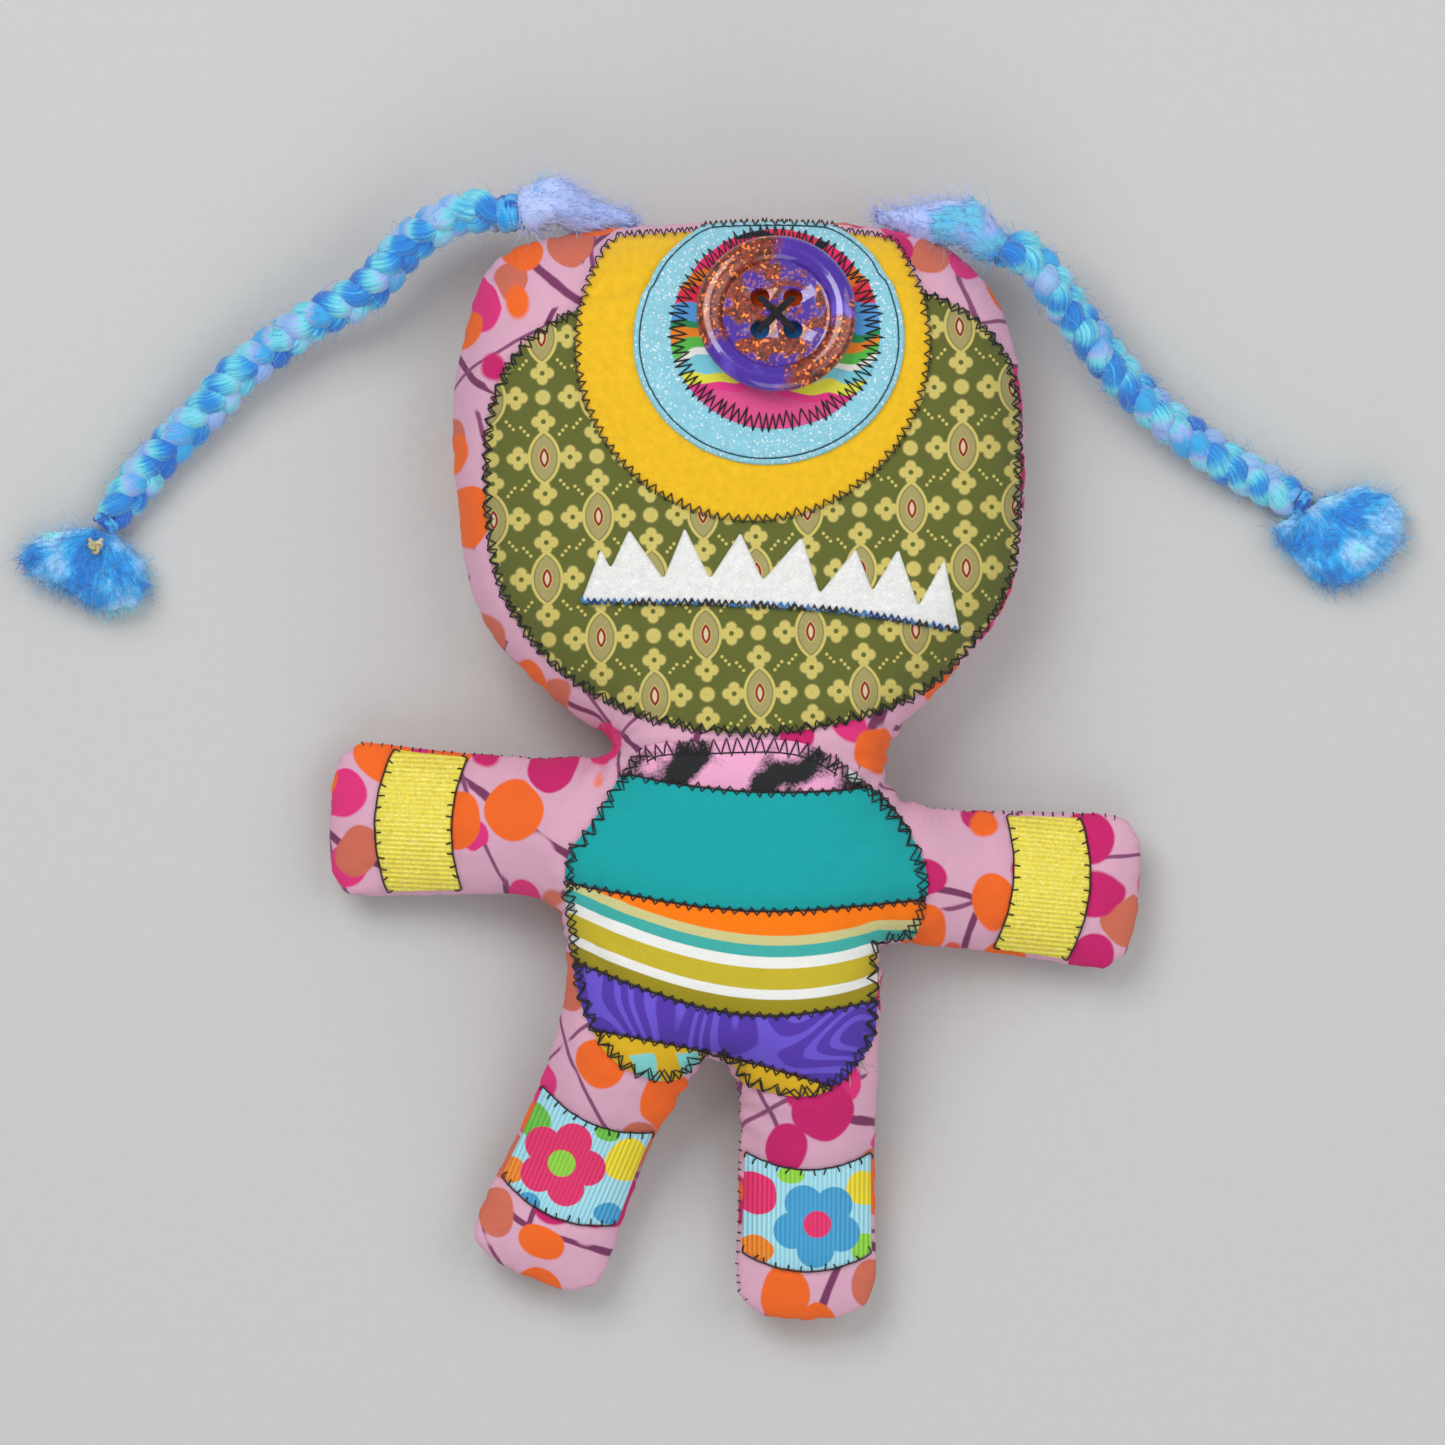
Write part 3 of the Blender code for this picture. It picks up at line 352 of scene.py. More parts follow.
def cotton(paint, colour, u, v, wear=0.06, pitch=0.55):
    """Finishes a printed or plain cotton: threads, slight unevenness and creases."""
    weave = paint.weave(u, v, pitch)
    mottle = paint.noise(u, v, size=4.0, detail=3.0)
    # The weave's crossings lighter and its dips darker: painted shade. The mottle is uneven tone.
    tone = mottle * (2 * wear) + (1 - wear) + (weave - 0.5) * 0.10
    paint.base(paint.dim(colour, tone))
    creases = paint.noise(u, v, size=14.0, detail=2.0)
    paint.bump(weave * 0.12 + creases * 1.4 + mottle * 0.25, 1.0, 0.55)
    return paint.material


def scattered(paint, u, v, w, size, small, spread, share):
    """Round dots in scattered places: 1 inside them, and three random values for each."""
    far, pick = paint.cells(u, v, w, size=size, random=0.85)
    inside = (far - pick[1] * spread - small).below(0.0, 0.22)
    return inside * pick[2].below(share, 0.01), pick


def body_cloth():
    """Pink cotton with scattered round and oval dots, and plain plum lines that cross."""
    paint = Paint("pink_print", rough=0.92, sheen=0.08)
    x, y, z = paint.place()
    wave = paint.noise(x, y, z, size=26.0, detail=1.0)
    sway = paint.noise(y + 70.0, x, z, size=26.0, detail=1.0)
    colour = linear("#DBA8BF")
    for degrees, period, shift, wide, seed in (
            (63, 31.0, 5.0, 0.95, 0.0), (-22, 37.0, 12.0, 0.85, 40.0), (22, 41.0, 31.0, 0.6, 90.0),
            (-70, 33.0, 20.0, 0.5, 140.0)):
        turn = math.radians(degrees)
        level = x * math.cos(turn) + y * math.sin(turn) + z * 0.3 + wave * 6.0 + sway * 4.0 + shift
        far = ((level / period).fract() - 0.5).abs() * period
        rough = paint.noise(x + seed, y, z, size=5.0, detail=1.0)
        broken = paint.noise(x - seed, y + seed, z, size=22.0, detail=0.0)
        line = (far - rough * 0.7 * wide).below(wide * 0.65, 0.2) * broken.above(0.42, 0.01)
        colour = paint.mix(line, colour, linear("#7B3A62" if wide > 0.7 else "#8A4A72"))
    u, v, w = x + wave * 9.0, y * 0.9 + sway * 9.0, z * 0.3
    for du, dv, sizes, first, codes in (
            (33.0, 11.0, (15.5, 4.4, 2.2, 0.80), "#E0347C", ((0.4, "#C9246B"), (0.62, "#D06E58"))),
            (0.0, 0.0, (17.0, 5.4, 2.2, 0.85), "#F36A26", ((0.52, "#C9246B"), (0.78, "#CE6C56")))):
        dots, pick = scattered(paint, u + du, v + dv, w, *sizes)
        colour = paint.mix(dots, colour, paint.steps(linear(first), pick[0], 0.01, codes))
    return cotton(paint, colour, x, y + z * 0.8, wear=0.05)


def foulard():
    """Olive cotton with a half-drop of pointed ovals, four-petal blossoms, dots and beads."""
    paint = Paint("olive_print")
    u, v, _ = paint.cloth()
    wide, tall = 25.8, 29.8
    fu = ((u / wide).fract() - 0.5).abs() * wide
    fv = ((v / tall).fract() - 0.5).abs() * tall
    other = (fu * (2 / wide) + fv * (2 / tall)).above(1.0, 0.001)
    x = fu + other * (wide / 2 - fu * 2)
    y = fv + other * (tall / 2 - fv * 2)
    oval = paint.length(x + 3.87, y) - 7.87
    seed = paint.length(x + 2.1, y) - 3.45
    side = (x / 6.3 - y / 8.9).above(0.0, 0.001)
    bx = (x - side * 6.3).abs()
    by = (y - (1 - side) * 8.9).abs()
    long, short = bx.most(by), bx.least(by)
    petals = paint.length(long - 1.55, short) - 1.28
    eye = paint.length(bx, by)
    dot = paint.length(x - wide / 2, y).least(paint.length(x, y - tall / 2))
    along = (x - 3.4) * 0.66 + (y - 5.2) * 0.75
    across = (y - 5.2) * 0.66 - (x - 3.4) * 0.75
    beads = paint.length((along / 1.3).fract() * 1.3 - 0.65, across).below(0.40, 0.08)
    beads = beads * along.above(0.0, 0.01) * along.below(5.2, 0.01)
    khaki, olive, shade = "#CDBE69", "#62672F", "#8E8750"
    ground = paint.over(
        linear(olive), (beads, khaki), (dot.below(2.05, 0.1), shade), (dot.below(1.75, 0.1), khaki),
        (petals.below(0.28, 0.1), shade), (petals.below(0.0, 0.1), khaki), (eye.below(0.62, 0.1), olive),
        (oval.below(0.0, 0.1), khaki), (oval.below(-0.75, 0.1), "#77714A"),
        (oval.below(-1.0, 0.1), "#A59B64"), (seed.below(0.0, 0.08), khaki),
        (seed.below(-0.2, 0.08), "#8E2830"), (seed.below(-0.78, 0.08), "#D8C79A"),
    )
    return cotton(paint, ground, u, v)


def felt(name, code, glitter=0.0):
    """Pressed felt: short matted fibres, and specks of glitter where it has them."""
    paint = Paint(name, rough=0.95, sheen=0.25, specular=0.25)
    u, v, _ = paint.cloth()
    blur = paint.noise(u, v, size=2.2, detail=4.0)
    fuzz = paint.noise(u, v, size=0.45, detail=3.0, distortion=1.2)
    tone = blur * 0.34 + fuzz * 0.24 + 0.71
    colour = paint.dim(linear(code), tone)
    height = fuzz * 0.35 + blur * 0.5
    if glitter:
        _, pick = paint.cells(u, v, size=0.42)
        speck = pick[0].above(1 - glitter, 0.02)
        # The glitter's flakes are real and smoother; painting them white is a painted sparkle.
        colour = paint.mix(speck * 0.6, colour, (1.0, 1.0, 1.0))
        paint.rough(0.9 - speck * 0.6)
        height = height + pick[1] * 0.45
    paint.base(colour)
    paint.bump(height, 0.55, 0.8)
    return paint.material


def eye_print():
    """Cotton with bands of many colours."""
    paint = Paint("many_colour_print", sheen=0.05)
    u, v, _ = paint.cloth()
    bend = paint.noise(u, v, size=15.0, detail=1.0)
    level = v + (bend - 0.5) * 13.0 + (u * 0.16).sin() * 1.5
    bands = (
        (-19.0, "#EB3F8C"), (-16.5, "#E8E34A"), (-14.0, "#7FD0E0"), (-11.0, "#F2F0E8"),
        (-9.2, "#5CBF4E"), (-6.0, "#F0862C"), (-3.0, "#2E8F5B"), (-0.8, "#5A9FE0"), (4.2, "#E2344A"),
        (7.5, "#F07A28"), (12.5, "#EB2F6C"), (17.0, "#222430"), (19.0, "#E8355F"),
    )
    colour = paint.steps(linear("#E2558F"), level, 0.15, bands)
    middle = paint.mix(v.above(0.0, 0.1), linear("#3E8FE0"), linear("#FF5A14"))
    colour = paint.mix(paint.length(u, v).below(8.5, 0.1), colour, middle)
    return cotton(paint, colour, u, v, pitch=0.45)


def blotched():
    """Pale pink cotton with soft black blotches."""
    paint = Paint("blotched_print", sheen=0.05)
    u, v, _ = paint.cloth()
    grain = paint.noise(u, v, size=0.7, detail=2.0)
    spread = paint.noise(u + 31.0, v, size=15.0, detail=2.0) + (grain - 0.5) * 0.14
    black = spread.above(0.56, 0.05)
    spot = paint.length(u - 33.0, v + 5.5).below(2.4, 0.4)
    colour = paint.over(linear("#F0A9CE"), (black, "#2A2A2C"), (spot, "#DDEDE8"))
    return cotton(paint, colour, u, v)


def plain(name, code, wear=0.05):
    paint = Paint(name)
    u, v, _ = paint.cloth()
    return cotton(paint, linear(code), u, v, wear=wear)


def striped():
    """Stripes that run along the patch's lower join; the third coordinate is the height over it."""
    paint = Paint("striped_print")
    u, v, level = paint.cloth()
    edges = (
        (3.9, "#EFEFEA"), (6.3, "#C8B42E"), (11.6, "#EFEFEA"), (14.4, "#42AEA6"), (17.3, "#CFC98A"),
        (19.7, "#FA7A0C"),
    )
    colour = paint.steps(linear("#A39420"), level, 0.12, edges)
    return cotton(paint, colour, u, v, wear=0.04)


def swirled():
    """Purple cotton with lighter bands that curl round each other."""
    paint = Paint("purple_print")
    u, v, _ = paint.cloth()
    field = paint.noise(u, v * 0.8, size=24.0, detail=0.0, distortion=0.6)
    curl = (field * 62.0).sin()
    colour = paint.mix(curl.above(0.25, 0.2), linear("#5539AA"), linear("#6C56CE"))
    return cotton(paint, colour, u, v, wear=0.05)


def checked():
    """Mustard cotton with aqua patches, which fade out to the right."""
    paint = Paint("check_print")
    u, v, _ = paint.cloth()
    warp = paint.noise(u, v, size=6.0, detail=1.0)
    column = ((u + v * 0.3 + warp * 3.0) / 11.0).fract().below(0.48, 0.02)
    row = ((v + warp * 2.0) / 17.0).fract().below(0.62, 0.02)
    share = column * row * u.below(-2.0, 0.5)
    colour = paint.mix(share, linear("#D9AE20"), linear("#7FD0CC"))
    return cotton(paint, colour, u, v)


def ribbed(along):
    """Grosgrain's cords, which run across the ribbon, from 0 to 1."""
    return (along * (TURN / 1.15)).sin() * 0.5 + 0.5


def glitter_ribbon():
    paint = Paint("glitter_ribbon", rough=0.5, sheen=0.0, specular=0.5)
    u, v, _ = paint.cloth()
    ribs = ribbed(u)
    _, pick = paint.cells(u, v, size=0.42)
    bright = pick[0].above(0.72, 0.05)
    dark = pick[1].above(0.75, 0.05)
    patch = paint.noise(u, v, size=5.0, detail=2.0)
    # The bright specks are glitter flakes with a painted sparkle on them.
    colour = paint.over(linear("#F0DF46"), (dark * 0.4, "#CDB836"), (bright * 0.55, "#FAF288"))
    # The cords lighter on their crests and darker between them: painted shade; the patch noise is uneven
    # tone.
    colour = paint.dim(colour, ribs * 0.16 + patch * 0.2 + 0.82)
    paint.base(colour)
    paint.rough(0.55 - bright * 0.3)
    paint.bump(ribs * 0.5 + pick[2] * 0.35, 0.5, 0.8)
    return paint.material


def flower_ribbon(name, flower, centre, blobs):
    """Aqua grosgrain with a plain five-petal flower and blobs of colour.

    flower is (u, v, turn, petal colour); each blob is (u, v, radius, squeeze, colour).
    """
    paint = Paint(name, rough=0.6, sheen=0.0, specular=0.4)
    u, v, _ = paint.cloth()
    wave = (paint.noise(u, v, size=7.0, detail=0.0) - 0.5) * 2.2
    colour = linear("#A8E4F2")
    for bu, bv, radius, squeeze, code in blobs:
        far = paint.length(u - bu, (v - bv) * squeeze) + wave
        colour = paint.mix(far.below(radius, 0.12), colour, linear(code))
    fu, fv, turn, petal = flower
    x, y = u - fu, v - fv
    angle = paint.math("ARCTAN2", y, x) + turn
    sector = (angle * (5 / TURN) + 0.5).fract() * (TURN / 5) - TURN / 10
    far = paint.length(x, y)
    leaf = paint.length(far * sector.op("COSINE") - 6.3, far * sector.sin())
    colour = paint.over(
        colour, (leaf.below(4.6, 0.12), petal), (far.below(5.0, 0.12), petal), (far.below(3.4, 0.12), centre)
    )
    ribs = ribbed(u)
    # The cords lighter on their crests and darker between them: painted shade.
    paint.base(paint.dim(colour, ribs * 0.22 + 0.84))
    paint.bump(ribs, 0.3, 0.9)
    return paint.material


def thread_paint(name, codes, size=6.0):
    """Spun thread, in one colour or changing along its length."""
    paint = Paint(name, rough=0.7, sheen=0.1, specular=0.35)
    x, y, z = paint.place()
    spin = ((x + y + z) * (TURN / 0.5)).sin() * 0.5 + 0.5
    change = paint.noise(x, y, z, size=size, detail=0.0)
    edges = [(0.42 + 0.10 * k, code) for k, code in enumerate(codes[1:])]
    colour = paint.steps(linear(codes[0]), change, 0.02, edges)
    # Lighter on the ridges of the twist and darker in its grooves: painted shade.
    paint.base(paint.dim(colour, spin * 0.3 + 0.8))
    paint.bump(spin, 0.12, 0.6)
    return paint.material


def evenly(codes, low, span):
    """Edges for all the colour codes but the first, spread over a span of the level."""
    return [(low + span * (k + 1) / len(codes), code) for k, code in enumerate(codes[1:])]


def wool_paint(name, codes, size=9.0):
    """Roving: the cloth coordinates are along, round and which strand, in millimetres."""
    paint = Paint(name, rough=0.95, sheen=0.5, specular=0.15)
    along, round_, strand = paint.cloth()
    change = paint.noise(along, strand * 40.0, size=size, detail=1.0)
    streak = paint.noise(along * 0.16, round_ * 1.6, strand * 9.0, size=1.0, detail=2.0)
    level = change + (streak - 0.5) * 0.16
    colour = paint.steps(linear(codes[0]), level, 0.035, evenly(codes, 0.36, 0.30))
    paint.base(paint.dim(colour, streak * 0.44 + 0.80))
    paint.bump(streak, 0.4, 0.7)
    return paint.material


def fleece_paint(name, codes, size, slope=0.0, middle=0.0):
    """Fluffed wool: soft patches of colour, and faint fibres that run outward.

    The later colours come more often where the third coordinate is under the middle, by the slope.
    """
    paint = Paint(name, rough=0.95, sheen=0.6, specular=0.1)
    x, y, z = paint.place()
    along, round_, far = paint.cloth()
    level = paint.noise(x, y, z, size=size, detail=1.5)
    streak = paint.noise(along * 0.25, round_ * 2.2, size=1.0, detail=3.0)
    level = level + (streak - 0.5) * 0.30 - (far - middle) * slope
    colour = paint.steps(linear(codes[0]), level, 0.07, evenly(codes, 0.34, 0.34))
    paint.base(paint.dim(colour, streak * 0.36 + 0.86))
    paint.bump(streak, 0.3, 0.8)
    return paint.material


def resin():
    """Clear glossy resin over purple, with swirls of copper glitter."""
    paint = Paint("glitter_resin", rough=0.12, sheen=0.0, specular=0.5, coat=1.0)
    u, v, _ = paint.cloth()
    far = paint.length(u, v)
    angle = paint.math("ARCTAN2", v, u)
    swirl = paint.noise(u, v, size=9.0, detail=2.0, distortion=1.2)
    shift = (swirl - 0.5) * 2.4
    rim = (angle * 2.0 - 3.4 + shift).sin() + (angle - 1.1 + shift * 0.5).sin() * 0.35 + 0.15
    dish = (swirl - 0.47) * 9.0
    inside = far.below(13.2, 0.4)
    share = rim + inside * (dish - rim)
    copper = share.above(0.0, 0.22)
    _, pick = paint.cells(u, v, size=0.62)
    # The flecks are copper glitter; the brightest of them, which are also the highest, carry a painted
    # glint.
    fleck = paint.over(linear("#3C0E02"), (pick[0], "#A23403"), (pick[1].above(0.88, 0.02), "#FF8A2C"))
    dust = pick[2].above(0.82, 0.02) * 0.5 * inside
    purple = paint.over(linear("#45219C"), (swirl.above(0.56, 0.08), "#6B4AC8"), (dust, "#C87A50"))
    colour = paint.mix(copper, purple, fleck)
    paint.base(colour)
    paint.feed(paint.shader.inputs["Metallic"], copper * 0.25)
    paint.rough(0.14 + copper * 0.22)
    paint.bump(pick[1] * copper, 0.10, 0.7)
    return paint.material


class Frame2D:
    """A piece's own axes: u to its right and v up, seen from above."""

    def __init__(self, origin, angle):
        self.origin = np.array(origin, float)
        self.up = np.array((math.cos(angle), math.sin(angle)))
        self.right = np.array((self.up[1], -self.up[0]))

    def local(self, xy):
        offset = np.asarray(xy) - self.origin
        return offset @ self.right, offset @ self.up

    def point(self, u, v):
        return self.origin + u * self.right + v * self.up


def unit(vectors):
    """Each row at length one."""
    return vectors / np.maximum(np.linalg.norm(vectors, axis=1), 1e-15)[:, None]


def rims(triangles):
    """The closed lines round a patch of triangles, as the indices of their points."""
    directed = {(int(t[k]), int(t[(k + 1) % 3])) for t in triangles for k in range(3)}
    follow = {p: q for p, q in directed if (q, p) not in directed}
    loops = []
    while follow:
        start, at = next(iter(follow.items()))
        del follow[start]
        loop = [start]
        while at != start and at in follow:
            loop.append(at)
            at = follow.pop(at)
        loops.append(loop)
    return loops


def border(node):
    """The outline, seen from above, of the upward faces of a layer's solid, anticlockwise."""
    mesh = node.data
    mesh.calc_loop_triangles()
    co = np.array([v.co for v in mesh.vertices])
    _, weld = np.unique(np.round(co / WELD).astype(int), axis=0, return_inverse=True)
    weld = weld.ravel()
    tris = np.array([t.vertices for t in mesh.loop_triangles])
    a, b, c = (co[tris[:, k]] for k in range(3))
    ids = weld[tris[unit(np.cross(b - a, c - a))[:, 2] > 0.12]]
    where = np.zeros((weld.max() + 1, 2))
    where[weld] = co[:, :2]
    loops = [where[loop] for loop in rims(ids)]
    return max(loops, key=lambda run: np.linalg.norm(run - np.roll(run, 1, axis=0), axis=1).sum())


def lengths_along(run):
    """How far along a line each of its points is."""
    return np.concatenate(([0], np.cumsum(np.linalg.norm(np.diff(run, axis=0), axis=1))))


def spaced(points, step, closed=False):
    """The line again, at even steps."""
    run = np.asarray(points, float)
    if closed:
        run = np.concatenate((run, run[:1]))
    along = lengths_along(run)
    count = max(3, round(along[-1] / step))
    at = np.linspace(0, along[-1], count + 1)
    even = np.stack([np.interp(at, along, run[:, k]) for k in range(run.shape[1])], axis=1)
    return even[:-1] if closed else even


def softened(points, times):
    """A closed outline with its corners eased."""
    run = points
    for _ in range(times):
        run = 0.25 * np.roll(run, 1, axis=0) + 0.5 * run + 0.25 * np.roll(run, -1, axis=0)
    return run


def wobbled(points, amount, size, seed):
    """An outline cut by hand: each point moved a little."""
    moved = [
        (amount * noise.noise(Vector((x / size, y / size, seed))),
         amount * noise.noise(Vector((x / size, y / size, seed + 9.0))))
        for x, y in points
    ]
    return points + np.array(moved)


def smooth_route(points, step):
    """Even points on the smooth curve through a route."""
    pts = np.array(points, float)
    dense = []
    for i in range(len(pts) - 1):
        b, c = pts[i], pts[i + 1]
        a = pts[i - 1] if i else 2 * b - c
        d = pts[i + 2] if i + 2 < len(pts) else 2 * c - b
        for t in np.arange(16) / 16:
            dense.append(
                0.5 * (2 * b + (c - a) * t + (2 * a - 5 * b + 4 * c - d) * t**2
                       + (3 * b - a - 3 * c + d) * t**3)
            )
    dense.append(pts[-1])
    return spaced(dense, step)


def distance_inside(points, outline):
    """Distance of each point to the outline, negative outside it."""
    found = []
    a, b = outline[None], np.roll(outline, -1, axis=0)[None]
    edge = b - a
    for part in np.array_split(np.atleast_2d(points), max(1, len(points) // 2000)):
        p = part[:, None, :]
        t = np.clip(((p - a) * edge).sum(2) / np.maximum((edge**2).sum(2), 1e-18), 0, 1)
        near = np.linalg.norm(p - a - t[..., None] * edge, axis=2).min(1)
        y = p[..., 1]
        crosses = (a[..., 1] > y) != (b[..., 1] > y)
        rise = np.where(edge[..., 1] == 0, 1, edge[..., 1])
        x_at = a[..., 0] + (y - a[..., 1]) / rise * edge[..., 0]
        odd = (crosses & (p[..., 0] < x_at)).sum(1) % 2 == 1
        found.append(np.where(odd, near, -near))
    return np.concatenate(found)


def inset(outline, distance):
    """The outline moved inward, without the points that come too near it."""
    moved = outline - outward(outline, True) * distance
    return moved[distance_inside(moved, outline) > 0.93 * distance]


def triangulate(outline, rings, step):
    """Triangles over the outline: rings that follow the edge, then an even lattice."""
    loops = [inset(outline, d) for d in rings]
    low, high = outline.min(0), outline.max(0)
    rows = np.arange(low[1], high[1], step * math.sqrt(3) / 2)
    lattice = np.array([
        (x, y)
        for k, y in enumerate(rows)
        for x in np.arange(low[0] + (k % 2) * step / 2, high[0], step)
    ])
    lattice = lattice[distance_inside(lattice, outline) > rings[-1] + 0.6 * step]
    points = np.concatenate([outline, *loops, lattice])
    n = len(outline)
    rim = [(i, (i + 1) % n) for i in range(n)]
    made = delaunay_2d_cdt([Vector(p) for p in points], rim, [], 1, 1e-8)
    return np.array([tuple(v) for v in made[0]]), np.array(made[2]), n


def smooth01(t):
    t = np.clip(t, 0, 1)
    return t * t * (3 - 2 * t)


def linked(name, data):
    """A new object, in the scene."""
    ob = bpy.data.objects.new(name, data)
    bpy.context.scene.collection.objects.link(ob)
    return ob


def mark(mesh, cloth):
    """Gives each point its place in the pattern, in millimetres."""
    layer = mesh.attributes.new("cloth", "FLOAT_VECTOR", "POINT")
    layer.data.foreach_set("vector", np.asarray(cloth, np.float32).ravel())


def mesh_object(name, verts, faces, material, cloth=None):
    """A mesh piece with smooth shading; cloth is the pattern's place of each vertex, in mm."""
    mesh = bpy.data.meshes.new(name)
    mesh.from_pydata(verts.tolist(), [], faces if isinstance(faces, list) else faces.tolist())
    mesh.update()
    if cloth is not None:
        mark(mesh, cloth)
    mesh.materials.append(material)
    mesh.shade_smooth()
    return linked(name, mesh)


def points_of(mesh):
    """A mesh's points, as rows."""
    co = np.zeros(len(mesh.vertices) * 3)
    mesh.vertices.foreach_get("co", co)
    return co.reshape(-1, 3)


def move_points(ob, co):
    """Puts a mesh's points in new places."""
    ob.data.vertices.foreach_set("co", co.ravel())
    ob.data.update()


def modifier(ob, kind, **settings):
    """A new modifier with those settings."""
    made = ob.modifiers.new(kind, kind)
    for key, value in settings.items():
        setattr(made, key, value)
    return made


class Surface:
    """The fine body's front, with what has been laid on it so far."""

    def __init__(self, ob):
        self.co = points_of(ob.data)
        self.normals = np.array([v.normal for v in ob.data.vertices])
        self.faces = [tuple(p.vertices) for p in ob.data.polygons]
        self.tree = BVHTree.FromPolygons(self.co.tolist(), self.faces)
        self.covers = []

    def spots(self, xy):
        """Place and normal of the bare body under each point seen from above."""
        places, normals = [], []
        for x, y in xy:
            place, _, face, _ = self.tree.ray_cast(Vector((x, y, RAY_FROM)), Vector((0, 0, -1)))
            if place is None:
                place, _, face, _ = self.tree.find_nearest(Vector((x, y, MIDDLE)))
            corners = self.faces[face]
            gaps = [1 / max(1e-7, (Vector(self.co[c]) - place).length) for c in corners]
            blended = sum(self.normals[c] * g for c, g in zip(corners, gaps))
            places.append(place[:])
            normals.append(blended / np.linalg.norm(blended))
        return np.array(places), np.array(normals)

    def cover(self, outline, top):
        self.covers.append((outline, top))

    def height(self, xy, soft=0.8 * MM):
        """Height over the bare body of what is laid there, rising softly at its edges."""
        xy = np.asarray(xy)
        level = np.zeros(len(xy))
        for outline, top in self.covers:
            low, high = outline.min(0) - soft, outline.max(0) + soft
            near = ((xy > low) & (xy < high)).all(1)
            if near.any():
                inside = distance_inside(xy[near], outline)
                level[near] = np.maximum(level[near], top * smooth01((inside + soft) / soft))
        return level

    def lay(self, xy, lift):
        """Points laid on whatever is there, and the normals."""
        places, normals = self.spots(xy)
        return places + normals * (self.height(xy) + lift)[:, None], normals


def drape(surface, name, outline, axes, material, thick, edge, puff=0.0, step=FINE_STEP, third=None):
    """A layer of cloth over what is there, with a rounded edge, as a closed solid.

    The third coordinate of its pattern is 0, or what third says for points seen from above.
    """
    verts, tris, n = triangulate(outline, (0.08 * edge, 0.35 * edge, edge, 3.0 * edge), step)
    inside = np.maximum(0, distance_inside(verts, outline))
    inside[:n] = 0
    places, normals = surface.spots(verts)
    base = surface.height(verts) + LIFT
    rounded = np.sqrt(np.clip(1 - (1 - np.clip(inside / edge, 0, 1)) ** 2, 0, 1))
    top = base + thick * rounded + puff * smooth01(inside / (7 * MM))
    above = places + normals * top[:, None]
    below = places[n:] + normals[n:] * base[n:, None]
    under = tris[:, ::-1].copy()
    under[under >= n] += len(verts) - n
    u, v = axes.local(verts)
    w = third(verts) if third else np.zeros(len(verts))
    cloth = np.stack((u, v, w), axis=1) / MM
    cloth = np.concatenate((cloth, cloth[n:]))
    verts = np.concatenate((above, below))
    ob = mesh_object(name, verts, np.concatenate((tris, under)), material, cloth)
    surface.cover(outline, float(np.median(base)) + thick)
    return ob


def tubes(name, lines, radius, material, sides=5, cloth=None):
    """Round threads along lines of (points, normals), each closed at its ends, as one mesh.

    radius is one number, or one array for each line. cloth gives each line a third coordinate.
    """
    verts, faces, marks = [], [], []
    count = 0
    turns = TURN * np.arange(sides) / sides
    for k, (points, normals) in enumerate(lines):
        tangent = unit(np.gradient(points, axis=0))
        side = unit(np.cross(tangent, normals))
        up = np.cross(side, tangent)
        size = radius[k] if isinstance(radius, list) else np.full(len(points), radius)
        ring = side[:, None] * np.cos(turns)[None, :, None]
        ring = ring + up[:, None] * np.sin(turns)[None, :, None]
        verts.append((points[:, None] + ring * size[:, None, None]).reshape(-1, 3))
        if cloth is not None:
            grid = np.zeros((len(points), sides, 3))
            grid[..., 0] = lengths_along(points)[:, None] / MM + cloth[k][0]
            round_ = np.abs(np.arange(sides) - sides / 2)[None]
            grid[..., 1] = round_ * (size[:, None] / MM) * TURN / sides
            grid[..., 2] = cloth[k][1]
            marks.append(grid.reshape(-1, 3))
        rows = np.arange(len(points) - 1)[:, None] * sides + count
        a = rows + np.arange(sides)[None]
        b = rows + (np.arange(sides)[None] + 1) % sides
        faces += np.stack((a, b, b + sides, a + sides), axis=2).reshape(-1, 4).tolist()
        faces.append([count + s for s in range(sides)][::-1])
        count += len(points) * sides
        faces.append([count - sides + s for s in range(sides)])
    return mesh_object(
        name, np.concatenate(verts), faces, material, None if cloth is None else np.concatenate(marks)
    )


def outward(line, closed):
    """The sideways direction at each point of a line, to its right: outward if anticlockwise."""
    if closed:
        run = np.roll(line, -1, axis=0) - np.roll(line, 1, axis=0)
    else:
        run = np.gradient(line, axis=0)
    run = unit(run)
    return np.stack((run[:, 1], -run[:, 0]), axis=1)


def stitched(surface, corners, radius, arch):
    """Thread through the corners: it dips into the cloth at each and arches in between."""
    points, lifts = [], []
    for a, b in zip(corners, corners[1:]):
        for t in (0.0, 0.22, 0.5, 0.78):
            points.append(a + (b - a) * t)
            lifts.append(radius * (0.1 + 1.1 * math.sin(math.pi * t)) + arch * math.sin(math.pi * t))
    points.append(corners[-1])
    lifts.append(0.1 * radius)
    return surface.lay(np.array(points), np.array(lifts))


def zigzag(surface, line, closed, pitch, inner, outer, rng, radius, loose):
    """A zigzag stitch along an edge, from inner inside it to outer outside it."""
    run = spaced(line, pitch / 2, closed)
    away = outward(run, closed)
    slip = rng.normal(0, loose, (len(run), 2))
    corners = []
    for k, (p, d) in enumerate(zip(run, away)):
        reach = outer if k % 2 else -inner
        ahead = np.array((-d[1], d[0]))
        side = reach + slip[k, 0] * (inner + outer) / 2
        corners.append(p + d * side + ahead * slip[k, 1] * pitch / 2)
    if closed:
        corners.append(corners[0])
    return stitched(surface, corners, radius, 0.05 * MM)


